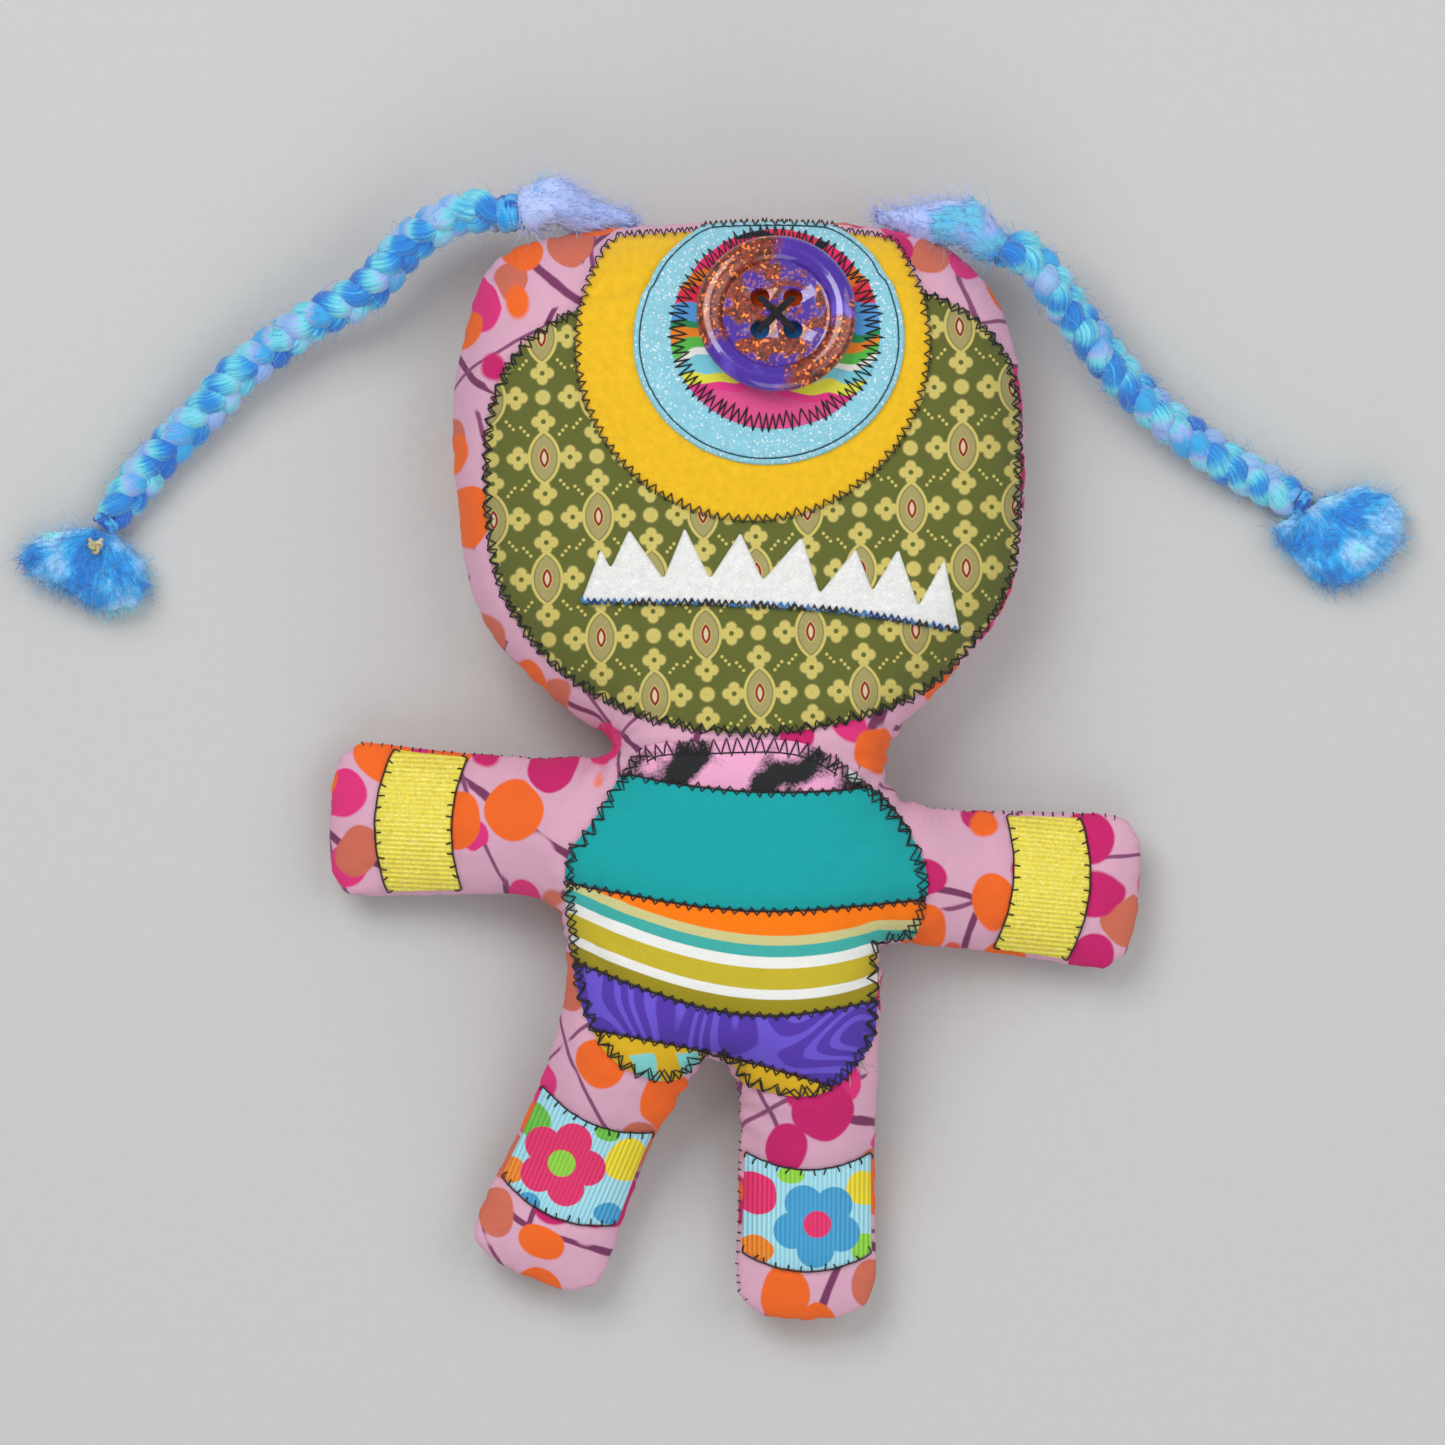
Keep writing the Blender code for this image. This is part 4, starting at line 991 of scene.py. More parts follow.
def blanket(surface, line, pitch, leg, rng, radius):
    """Hand stitches over an edge: a thread along it, with a leg into the cloth at each stitch."""
    run = spaced(line, pitch)
    away = outward(run, False)
    slip = rng.normal(0, LOOSE, (len(run), 2))
    feet = [p + d * 0.25 * MM for p, d in zip(run, away)]
    lines = [stitched(surface, feet, radius, 0.02 * MM)]
    for p, d, s in zip(feet, away, slip):
        ahead = np.array((-d[1], d[0]))
        toe = p - d * leg * (1 + s[0]) + ahead * s[1] * pitch
        lines.append(stitched(surface, [p, toe], radius, 0.05 * MM))
    return lines


def running(surface, line, pitch, gap, radius):
    """A running stitch: short lengths of thread that lie along a closed line."""
    run = spaced(line, pitch, True)
    return [
        stitched(surface, [a + (b - a) * gap / 2, b - (b - a) * gap / 2], radius, 0.0)
        for a, b in zip(run, np.roll(run, -1, axis=0))
    ]


def path_frames(path):
    """Tangent, side and up along a path that lies roughly flat."""
    tangent = unit(np.gradient(path, axis=0))
    side = unit(np.cross(tangent, (0, 0, 1.0)))
    return tangent, side, np.cross(side, tangent)


def wisps(rng, starts, ways, count, length, curl):
    """Loose fibres that leave a piece of wool: each a short curved line."""
    lines = []
    for k in rng.integers(0, len(starts), count):
        way = ways[k] + rng.normal(0, 0.55, 3)
        way /= np.linalg.norm(way)
        bend = np.clip(rng.normal(0, curl, 3), -1.2, 1.2)
        long = length * rng.uniform(0.35, 1.0)
        t = np.linspace(0, 1, FIBRE_POINTS)[:, None]
        twist = np.clip(rng.normal(0, curl * 0.5, 3), -0.8, 0.8)
        points = starts[k] + way * long * t + bend * long * t**2 + twist * long * t**3
        points[:, 2] = np.maximum(points[:, 2], 0.15 * MM)
        lines.append((points, np.tile(np.cross(way, bend + 1e-6), (FIBRE_POINTS, 1))))
    return lines


def near_path(lines, path, reach):
    """The lines that stay within reach of the path."""
    tree = KDTree(len(path))
    for i, p in enumerate(path):
        tree.insert(p, i)
    tree.balance()
    return [line for line in lines if max(tree.find(p)[2] for p in line[0]) < reach]


def stage():
    """Floor, lamps, sky and camera."""
    mesh = bpy.data.meshes.new("floor")
    corners = [(x * FLOOR_HALF, y * FLOOR_HALF, 0) for x, y in ((-1, -1), (1, -1), (1, 1), (-1, 1))]
    mesh.from_pydata(corners, [], [(0, 1, 2, 3)])
    floor = linked("floor", mesh)
    paint = Paint("floor", rough=0.8, sheen=0.0)
    x, y, z = paint.place()
    grain = paint.noise(x, y, z, size=3.0, detail=3.0)
    paint.base(paint.dim((0.56, 0.56, 0.55), grain * 0.06 + 0.97))
    mesh.materials.append(paint.material)
    for name, place, width, power in LAMPS:
        data = bpy.data.lights.new(name, "AREA")
        data.shape = "SQUARE"
        data.size = width
        data.energy = power
        lamp = linked(name, data)
        lamp.location = place
        lamp.rotation_euler = (-Vector(place)).to_track_quat("-Z", "Y").to_euler()
    world = bpy.data.worlds.new("sky")
    world.use_nodes = True
    sky = world.node_tree.nodes["Background"].inputs
    sky["Color"].default_value = (0.95, 0.97, 1.0, 1)
    sky["Strength"].default_value = 0.38
    bpy.context.scene.world = world
    data = bpy.data.cameras.new("camera")
    data.sensor_width = SENSOR
    data.lens = SENSOR * (CAMERA_HEIGHT - VIEW_PLANE) / VIEW_SIZE
    camera = linked("camera", data)
    camera.location = (*VIEW_CENTRE, CAMERA_HEIGHT)
    bpy.context.scene.camera = camera
    bpy.context.scene.view_settings.view_transform = "Standard"


def plait(rng, side, path_points, codes):
    """Three strands of wool that cross over each other, with a halo of fibres."""
    path = smooth_route(path_points, 0.7 * MM)
    tangent, flat, high = path_frames(path)
    across = flat * math.cos(PLAIT_LEAN) + high * math.sin(PLAIT_LEAN)
    up = high * math.cos(PLAIT_LEAN) - flat * math.sin(PLAIT_LEAN)
    along = lengths_along(path)
    lines, sizes, marks = [], [], []
    ends = np.clip(np.minimum(along, along[-1] - along) / (4 * MM), 0, 1)
    pinch = 0.72 + 0.28 * smooth01(ends)
    for k in range(3):
        phase = TURN * (along / PLAIT_PERIOD + k / 3)
        sway = PLAIT_SWAY * pinch * np.sin(phase)
        deep = PLAIT_DEPTH * np.sin(2 * phase)
        points = path + across * sway[:, None] + up * deep[:, None]
        uneven = np.array([noise.noise(Vector((s / (7 * MM), 11.0 * k, 3.0))) for s in along])
        size = STRAND_RADIUS * pinch * (1 + 0.20 * uneven)
        points[:, 2] = np.maximum(points[:, 2], size * 0.98)
        lines.append((points, high))
        sizes.append(size)
        marks.append((40.0 * k, float(k)))
    name = f"plait_{side}"
    count = 2200
    places = 4000
    pick = rng.integers(2, len(path) - 2, places)
    strand = rng.integers(0, 3, places)
    angle = rng.uniform(-0.35 * math.pi, 1.35 * math.pi, places)
    starts, ways = [], []
    for i, k, a in zip(pick, strand, angle):
        way = across[i] * math.cos(a) + up[i] * math.sin(a)
        starts.append(lines[k][0][i] + way * sizes[k][i] * 0.9)
        ways.append(way * 0.7 + tangent[i] * rng.normal(0, 0.9))
    fibres = near_path(wisps(rng, starts, ways, count, 4.6 * MM, 0.8), path, 8.2 * MM)
    lines += fibres
    sizes += [np.full(FIBRE_POINTS, FIBRE)] * len(fibres)
    marks += [(float(rng.uniform(0, 120)), float(rng.integers(0, 3))) for _ in fibres]
    paint = wool_paint(f"wool_{side}", codes)
    core = tubes(name, lines[:3], sizes[:3], paint, sides=18, cloth=marks[:3])
    halo = tubes(f"{name}_halo", lines[3:], sizes[3:], paint, sides=3, cloth=marks[3:])
    return join(core, halo), path


def join(keep, other):
    """One mesh of two."""
    bm = bmesh.new()
    bm.from_mesh(keep.data)
    bm.from_mesh(other.data)
    bm.to_mesh(keep.data)
    bm.free()
    gone = other.data
    bpy.data.objects.remove(other)
    bpy.data.meshes.remove(gone)
    keep.data.shade_smooth()
    return keep


def seam_line(co, faces):
    """The closed line where the front panel meets the back: where the silhouette turns over."""
    normal = np.cross(co[faces[:, 1]] - co[faces[:, 0]], co[faces[:, 2]] - co[faces[:, 0]])[:, 2]
    return max(rims(faces[normal > 0]), key=len)


def welded(node):
    """A CAD node's points, without the doubles that its sharp edges have, and its triangles."""
    mesh = node.data
    mesh.calc_loop_triangles()
    co = np.array([v.co for v in mesh.vertices])
    grid = np.round(co / WELD).astype(int)
    _, first, weld = np.unique(grid, axis=0, return_index=True, return_inverse=True)
    tris = weld.ravel()[np.array([t.vertices for t in mesh.loop_triangles])]
    return co[first], tris


def applied(ob):
    """The object with its modifiers made final."""
    graph = bpy.context.evaluated_depsgraph_get()
    mesh = bpy.data.meshes.new_from_object(ob.evaluated_get(graph))
    old = ob.data
    ob.modifiers.clear()
    ob.data = mesh
    bpy.data.meshes.remove(old)
    return ob


def nearest_on(line, points, flat=False):
    """Distance of each point to a dense line, and the index of the nearest of its points."""
    tree = KDTree(len(line))
    for i, p in enumerate(line):
        tree.insert((p[0], p[1], 0.0 if flat else p[2]), i)
    tree.balance()
    far, index = np.zeros(len(points)), np.zeros(len(points), int)
    for k, p in enumerate(points):
        _, index[k], far[k] = tree.find((p[0], p[1], 0.0 if flat else p[2]))
    return far, index


def swollen(ob, held):
    """Cloth simulation: pressure swells the bag between the held seams."""
    start = points_of(ob.data)
    group = ob.vertex_groups.new(name="held")
    for k in np.nonzero(held > 0.02)[0]:
        group.add([int(k)], float(held[k]), "REPLACE")
    cloth = modifier(ob, "CLOTH")
    settings = cloth.settings
    settings.use_pressure = True
    settings.uniform_pressure_force = SWELL
    settings.effector_weights.gravity = 0
    settings.vertex_group_mass = "held"
    settings.quality = 4
    cloth.collision_settings.use_collision = False
    for k in range(1, SWELL_FRAMES + 1):
        bpy.context.scene.frame_set(k)
    graph = bpy.context.evaluated_depsgraph_get()
    moved = points_of(ob.evaluated_get(graph).data)
    ob.modifiers.clear()
    bpy.context.scene.frame_set(1)
    shift = moved - start
    far = np.linalg.norm(shift, axis=1)
    shift *= np.minimum(1, SWELL_CAP / np.maximum(far, 1e-9))[:, None]
    co = start + shift
    co[:, 2] = np.maximum(co[:, 2], 0)
    move_points(ob, co)
    ob.vertex_groups.clear()


def fine_body(node, edges):
    """The stuffed bag: smooth, swollen between its seams, and puckered along them."""
    co, tris = welded(node)
    seam = co[seam_line(co, tris)]
    ob = mesh_object("stuffed_bag", co, tris, body_cloth())
    corner = {tuple(np.round(p, 6)) for p in seam}
    crease = ob.data.attributes.new("crease_edge", "FLOAT", "EDGE")
    for edge in ob.data.edges:
        a, b = (tuple(np.round(co[k], 6)) for k in edge.vertices)
        crease.data[edge.index].value = 1.0 if a in corner and b in corner else 0.0
    modifier(ob, "SUBSURF", levels=2, render_levels=2)
    modifier(ob, "REMESH", mode="VOXEL", voxel_size=VOXEL)
    modifier(ob, "SMOOTH", factor=0.5, iterations=3)
    applied(ob)
    line = spaced(seam, SEAM_STEP_MM * MM, True)
    start = points_of(ob.data)
    far, _ = nearest_on(line, start)
    held = smooth01(1.6 - far / SEAM_PIN)
    for outline in edges:
        off, _ = nearest_on(outline, start, flat=True)
        front = start[:, 2] > 18 * MM
        held = np.maximum(held, np.where(front, smooth01(1.5 - off / (2.2 * MM)), 0))
    held[start[:, 2] < 1.0 * MM] = 1
    swollen(ob, held)
    modifier(ob, "SUBSURF", levels=1, render_levels=1)
    applied(ob)
    for _ in range(2):
        draw_out(ob, line)
    pucker(ob, line, edges)
    ob.data.shade_smooth()
    return ob, line


def draw_out(ob, seam):
    """Brings the rim, which the smoothing has rounded off, back out to the seam."""
    co = points_of(ob.data)
    tree = BVHTree.FromPolygons(co.tolist(), [tuple(p.vertices) for p in ob.data.polygons])
    pulls = np.array([p - np.array(tree.find_nearest(Vector(p))[0]) for p in seam])
    pulls = softened(pulls, 4)
    far, index = nearest_on(seam, co)
    pull = pulls[index]
    beyond = np.maximum(0, far - np.linalg.norm(pull, axis=1))
    co = co + pull * np.exp(-((beyond / RIM_REACH) ** 2))[:, None]
    co[:, 2] = np.maximum(co[:, 2], 0)
    move_points(ob, co)


def pucker(ob, seam, edges):
    """Draws the cloth in along the seam and under every line of stitches."""
    co = points_of(ob.data)
    normals = np.array([v.normal for v in ob.data.vertices])
    far, index = nearest_on(seam, co)
    groove = SEAM_GROOVE * np.exp(-((far / (1.1 * MM)) ** 2))
    places = [Vector((k * SEAM_STEP_MM / SMALL_WAVE_MM, 0.0, 5.0)) for k in range(len(seam))]
    waves = np.array([noise.noise(place) for place in places])
    deep = PUCKER * waves[index] * 1.6 * np.exp(-far / (5.0 * MM)) * smooth01(far / (1.2 * MM))
    move = deep - groove
    front = np.clip(normals[:, 2] * 2, 0, 1) * (co[:, 2] > 12 * MM)
    for n, outline in enumerate(edges):
        off, at = nearest_on(outline, co, flat=True)
        ripples = np.array([noise.noise(Vector((k / 4.5, 7.0 + n, 1.0))) for k in range(len(outline))])
        dent = STITCH_DENT * np.exp(-((off / (2.0 * MM)) ** 2))
        ripple = PUCKER * ripples[at] * np.exp(-off / (4.0 * MM)) * smooth01(off / (1.0 * MM))
        move = move + (ripple - dent) * front
    for k, corner in enumerate(FOLD_CORNERS):
        away = co[:, :2] - np.array(corner) * MM
        off = np.linalg.norm(away, axis=1)
        fan = np.sin(np.arctan2(away[:, 1], away[:, 0]) * 11 + 2.1 * k)
        move = move + FOLD * fan * np.exp(-((off / FOLD_REACH) ** 2)) * smooth01(off / (6 * MM))
    slow = np.array([noise.noise(Vector(p) / (16 * MM)) for p in co])
    move = move + 0.35 * MM * slow * np.clip(co[:, 2] / (6 * MM), 0, 1)
    co = co + normals * move[:, None]
    co[:, 2] = np.maximum(co[:, 2], 0)
    move_points(ob, co)


def appliques(surface, nodes, frames):
    """All that is sewn on the bag but the button, each piece in place of its solid."""
    made = {}

    def outline_of(name, step=1.2 * MM, ease=2, ragged=0.12 * MM):
        line = softened(spaced(border(nodes[name]), step, True), ease)
        return wobbled(line, ragged, 5 * MM, len(name))

    head = frames["head"]
    print_axes = Frame2D(head.point(1.9 * MM, 14.0 * MM), math.radians(91.5))
    eye = Frame2D(head.point(10.6 * MM, 105.6 * MM), math.pi / 2)
    layers = (
        ("face_panel", foulard(), print_axes, CLOTH, 0.35 * MM, 0.5 * MM, 0.12 * MM),
        ("teeth_strip", felt("white_felt", "#ECECE8", 0.10), head, FELT, 0.7 * MM, 0.0, 0.0),
        ("eye_felt_yellow", felt("yellow_felt", "#ECBA1C"), head, FELT, 0.8 * MM, 0.25 * MM, 0.1 * MM),
        ("eye_felt_blue", felt("blue_felt", "#8FCFE0", 0.10), head, FELT, 0.8 * MM, 0.2 * MM, 0.1 * MM),
        ("eye_patch", eye_print(), eye, CLOTH, 0.35 * MM, 0.0, 0.15 * MM),
    )
    for name, material, axes, thick, edge, puff, ragged in layers:
        sharp = name == "teeth_strip"
        outline = outline_of(name, 0.8 * MM if sharp else 1.2 * MM, 1 if sharp else 2, ragged)
        step = 1.3 * MM if sharp else FINE_STEP
        ob = drape(surface, f"{name}_cloth", outline, axes, material, thick, edge, puff, step)
        made[name] = (ob, outline)
    torso = frames["torso"]
    patches = (
        ("pink", blotched()), ("teal", plain("teal_cotton", "#18A3A4")), ("striped", striped()),
        ("purple", swirled()), ("yellow_left", checked()),
        ("yellow_right", plain("mustard_cotton", "#D9AE20")),
    )
    for part, material in patches:
        name = f"chest_patch_{part}"
        outline = outline_of(name, 1.0 * MM, 1, 0.05 * MM)
        third = over_lower(outline, torso) if part == "striped" else None
        ob = drape(
            surface, f"{name}_cloth", outline, torso, material, CLOTH, 0.3 * MM, 0.15 * MM, third=third
        )
        made[name] = (ob, outline)
    left = flower_ribbon(
        "flower_ribbon_left", (3.0, 12.0, 0.4, "#EB326E"), "#96DC46",
        ((-11.5, 5.0, 5.5, 1.0, "#F5E132"), (-12.0, 19.5, 3.6, 1.3, "#46A5D7"),
         (13.5, 5.0, 4.6, 1.0, "#6EC846"), (14.0, 19.0, 4.0, 1.2, "#F58C28"),
         (-4.5, 0.5, 3.0, 1.4, "#6EC846"), (7.0, 24.5, 3.2, 1.2, "#46A5D7")))
    right = flower_ribbon(
        "flower_ribbon_right", (-2.5, 13.5, 1.0, "#46A5D7"), "#EB326E",
        ((13.0, 6.0, 5.6, 1.0, "#EB326E"), (-14.0, 4.5, 4.8, 1.1, "#F5E132"),
         (12.5, 20.5, 4.6, 1.2, "#F58C28"), (-14.5, 20.0, 3.8, 1.0, "#96DC46"),
         (4.0, 1.0, 3.2, 1.5, "#96DC46")))
    gold = glitter_ribbon()
    for (name, (limb, start)), material in zip(BANDS.items(), (gold, gold, left, right)):
        outline = outline_of(name, 1.0 * MM, 0, 0.0)
        axes = Frame2D(frames[limb].point(0, start * MM), AXES[limb][1])
        ob = drape(surface, f"{name}_ribbon", outline, axes, material, CLOTH, 0.25 * MM)
        made[name] = (ob, outline)
    for name, (ob, _) in made.items():
        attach(ob, "root")
        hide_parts(name)
    return {name: outline for name, (_, outline) in made.items()}


def over_lower(outline, frame):
    """Height of a point over the outline's lower side, in metres: the stripes' coordinate."""
    low = stretch_of(outline, frame, -1)
    left, right = low[:, 0].min(), low[:, 0].max()
    fit = np.polyfit(low[:, 0], low[:, 1], 3)
    return lambda xy: xy[:, 1] - np.polyval(fit, np.clip(xy[:, 0], left, right))


def outside_of(line, other, margin):
    """The longest part of a closed outline that lies outside another."""
    return longest_run(line, distance_inside(line, other) < -margin)


def longest_run(line, keep):
    """The longest stretch of a closed line whose points are all kept."""
    first = int(np.argmin(keep))
    runs, run = [], []
    for k in range(len(line)):
        i = (first + k) % len(line)
        if keep[i]:
            run.append(i)
        elif run:
            runs.append(run)
            run = []
    if run:
        runs.append(run)
    return line[max(runs, key=len)]


def stretch_of(outline, frame, side):
    """The part of an outline that faces up or down in the frame: side is 1 or -1."""
    return longest_run(outline, outward(outline, True) @ frame.up * side > 0.55)


def stitching(surface, outlines, seam, frames, rng):
    """Every line of thread that shows, as one mesh for each colour."""

    def zig(line, pitch, inner, outer, loose=LOOSE, radius=STITCH_THIN, closed=False):
        """A zigzag whose pitch and reaches are in millimetres."""
        return zigzag(surface, line, closed, pitch * MM, inner * MM, outer * MM, rng, radius, loose)

    def straight(line, step):
        return stitched(surface, spaced(line, step * MM), STITCH_FINE, 0.02 * MM)

    torso = frames["torso"]
    face = outside_of(outlines["face_panel"], outlines["eye_felt_yellow"], 0.4 * MM)
    chest = chest_outline(outlines)
    facing = outward(chest, True) @ torso.up
    sides = longest_run(chest, facing <= 0.84)
    top = longest_run(chest, facing > 0.80)
    dark = [
        zig(face, 2.9, 2.0, 0.9, radius=STITCH_THICK),
        zig(face, 4.3, 1.8, 0.7, 0.3),
        zig(sides, 3.9, 2.6, 0.4, 0.25, STITCH_THICK),
        zig(sides, 4.2, -0.4, -2.6, 0.25),
    ]
    for name in ("teal", "striped", "purple", "yellow_left", "yellow_right"):
        upper = stretch_of(outlines[f"chest_patch_{name}"], torso, 1)
        dark += [zig(upper, 2.8, 1.1, 1.2), straight(upper, 3.4)]
    dark.append(zig(top, 2.9, 4.0, 0.3, 0.15))
    dark.append(straight(top - outward(top, False) * 3.2 * MM, 3.0))
    for band, (limb, _) in BANDS.items():
        for side in (1, -1):
            edge = stretch_of(outlines[band], frames[limb], side)
            dark += blanket(surface, edge, 2.9 * MM, 1.6 * MM, rng, STITCH_THIN)
    dark += seam_stitches(surface, seam, rng, STITCH_THIN)
    dark.append(zig(outlines["eye_patch"], 1.9, 3.8, 0.8, 0.2, 0.15 * MM, closed=True))
    brown = [zig(outlines["eye_felt_yellow"], 2.5, 1.5, 0.9, 0.15, closed=True)]
    disc = inset(outlines["eye_felt_blue"], 1.6 * MM)
    slate = running(surface, disc, 2.6 * MM, 0.5 * MM, STITCH_THIN)
    base = stretch_of(outlines["teeth_strip"], frames["head"], -1)
    fangs = [zig(base, 1.7, 1.3, 0.5, 0.15), zig(base, 1.7, 1.1, 0.7, 0.25)]
    threads = (
        ("black_stitches", dark, "black_thread", ("#141416", "#1B1D20"), 6.0, "stuffed_body"),
        ("felt_stitches", brown, "brown_thread", ("#2A2318", "#35302A"), 6.0, "eye_felt_yellow"),
        ("disc_stitches", slate, "slate_thread", ("#28586A", "#1F4656"), 6.0, "eye_felt_blue"),
        ("teeth_stitches", fangs, "mixed_thread", ("#1F3F78", "#3F86C8", "#2A2A30"), 4.0, "teeth_strip"),
    )
    for name, lines, paint, codes, size, slot in threads:
        ob = tubes(name, lines, STITCH_THIN, thread_paint(paint, codes, size))
        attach(ob, "root")


def chest_outline(outlines):
    """The outer edge of all the chest patches together."""
    parts = [line for name, line in outlines.items() if name.startswith("chest_patch")]
    edge = []
    for line in parts:
        for p, d in zip(line, outward(line, True)):
            probe = p + d * 1.2 * MM
            if all(distance_inside(probe[None], other)[0] < -0.3 * MM for other in parts):
                edge.append(p)
    edge = np.array(edge)
    centre = (edge.min(0) + edge.max(0)) / 2
    angle = np.arctan2(edge[:, 1] - centre[1], edge[:, 0] - centre[0])
    edge = edge[np.argsort(angle)]
    return softened(spaced(softened(edge, 2), 1.0 * MM, True), 3)


def seam_stitches(surface, seam, rng, radius):
    """Short stitches over the seam at the arms and down the right leg."""
    run = spaced(seam, 2.6 * MM, True)
    after = np.roll(run, -1, axis=0)
    turn = np.sign((run[:, 0] * after[:, 1] - after[:, 0] * run[:, 1]).sum())
    lines = []
    for k, p in enumerate(run):
        nxt = run[(k + 1) % len(run)]
        if not any(x0 < p[0] < x1 and y0 < p[1] < y1 for x0, x1, y0, y1 in SEAM_SHOWS):
            continue
        ahead = (nxt - p) / np.linalg.norm(nxt - p)
        slip = ahead * rng.normal(0, 0.2 * MM)
        inward = np.array((-ahead[1], ahead[0], 0.0)) * turn
        laid, normals = [], []
        for t, lift in ((0.0, 0.1), (0.4, 0.9), (0.7, 0.9), (1.0, 0.1)):
            spot = p + slip + inward * (1 - t) * 1.6 * MM + np.array((0, 0, (0.8 - t) * 2.2 * MM))
            place, normal, _, _ = surface.tree.find_nearest(Vector(spot))
            laid.append(place + normal * lift * radius)
            normals.append(normal)
        lines.append((np.array(laid), np.array(normals)))
    return lines


def frayed(surface, outlines, torso, rng):
    """A few loose threads at the chest's right edge."""
    chest = chest_outline(outlines)
    away = outward(chest, True)
    u, v = torso.local(chest)
    edge = np.nonzero((u > 0.030) & (v < -0.040) & (v > -0.082))[0]
    lines = []
    for k in rng.choice(edge, 26):
        start = chest[k]
        way = away[k] + rng.normal(0, 0.5, 2)
        long = rng.uniform(0.8, 2.4) * MM
        bend = rng.normal(0, 0.6, 2)
        flat = np.array([start + way * long * t + bend * long * t * t for t in np.linspace(0, 1, 5)])
        lines.append(surface.lay(flat, 0.25 * MM))
    paint = thread_paint("loose_thread", ("#B9A9DE", "#D8CFC0"), 5.0)
    ob = tubes("frayed_threads", lines, 0.09 * MM, paint, sides=3)
    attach(ob, "root")


def hair(nodes, rng):
    """Both plaits, each with the hank, tie and tuft on it, and the wrap and knot on the left one."""
    shift = Vector((*NECK, 0))
    codes = ("#2F70CC", "#3597E0", "#74DCE4", "#A2B4EE", "#42AAE6")
    for side, route in (("left", LEFT_ROUTE), ("right", RIGHT_ROUTE)):
        points = [tuple(Vector(p) * MM + shift) for p in route]
        ob, path = plait(rng, side, points, codes)
        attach(ob, "root")
        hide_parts(f"braid_{side}")
        pieces = [
            hank(rng, nodes, side, path),
            binding(nodes, f"tie_{side}", 4, 0.75 * MM, "#2A62B8"),
            tuft(rng, nodes, side, path),
        ]
        if side == "left":
            pieces.append(binding(nodes, "hank_wrap_left", 2, 2.1 * MM, "#2E9BE4"))
            pieces.append(knot(nodes))
        for piece in pieces:
            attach(piece, "root")


def fluff(name, node, swell, lumps, paint, origin, lobes=(), spread=None):
    """The soft mass of a piece of wool, from its solid: rounded, a little fuller, and lumpy.

    The cloth coordinates run out from the origin, so that the streaks do. Each lobe is the angle in
    degrees where the mass reaches further, its width, and how much further in millimetres. The
    spread is the angle under which the mass fans out wider, and how many times as wide.
    """
    co, tris = welded(node)
    ob = mesh_object(name, co, tris, paint)
    modifier(ob, "REMESH", mode="VOXEL", voxel_size=FLEECE_VOXEL)
    modifier(ob, "SMOOTH", factor=0.5, iterations=6)
    applied(ob)
    co = points_of(ob.data)
    normals = np.array([v.normal for v in ob.data.vertices])
    out = co - origin
    far = np.linalg.norm(out, axis=1)
    angle = np.arctan2(out[:, 1], out[:, 0])
    bumps = []
    for p, f, a in zip(co, far, angle):
        lump = noise.noise(Vector(p) / (3.4 * MM))
        ridge = noise.noise(Vector((a * 9.0, f / (9 * MM), p[2] / (2.2 * MM))))
        bumps.append(lump + 0.8 * ridge)
    co = co + normals * (swell + lumps * np.array(bumps))[:, None]
    for degrees, width, gain in lobes:
        off = (angle - math.radians(degrees) + math.pi) % TURN - math.pi
        reach = gain * MM * np.exp(-((off / math.radians(width)) ** 2)) * far / far.max()
        co = co + out / far[:, None] * reach[:, None]
    if spread is not None:
        start, times = spread
        turn = np.minimum(angle - math.radians(start), 0.0) * (times - 1.0)
        away = co - origin
        co[:, 0] = origin[0] + away[:, 0] * np.cos(turn) - away[:, 1] * np.sin(turn)
        co[:, 1] = origin[1] + away[:, 0] * np.sin(turn) + away[:, 1] * np.cos(turn)
    co[:, 2] = np.maximum(co[:, 2], 0.1 * MM)
    move_points(ob, co)
    mark(ob.data, np.stack((far / MM, angle * 7.0, far / MM), axis=1))
    ob.data.shade_smooth()
    return ob, co, normals


def halo_of(rng, ob, origin, co, ways, counts, length, curl, radius):
    """Joins loose fibres to a piece of wool: they start at its points and leave along the ways.
    """
    paint = ob.data.materials[0]
    fibres = wisps(rng, co, ways, counts[1], length, curl)
    marks = [(float(rng.uniform(0, 60)), float(np.linalg.norm(points[0] - origin)) / MM)
             for points, _ in fibres]
    sizes = [np.linspace(1.0, 0.6, FIBRE_POINTS) * radius] * len(fibres)
    return join(ob, tubes("halo", fibres, sizes, paint, sides=3, cloth=marks))


def combed(normals, out):
    """The way along the surface that leads outward, and a little off it."""
    flat = out - normals * (out * normals).sum(1)[:, None]
    return flat / np.maximum(np.linalg.norm(flat, axis=1), 1e-9)[:, None] + normals * 0.10


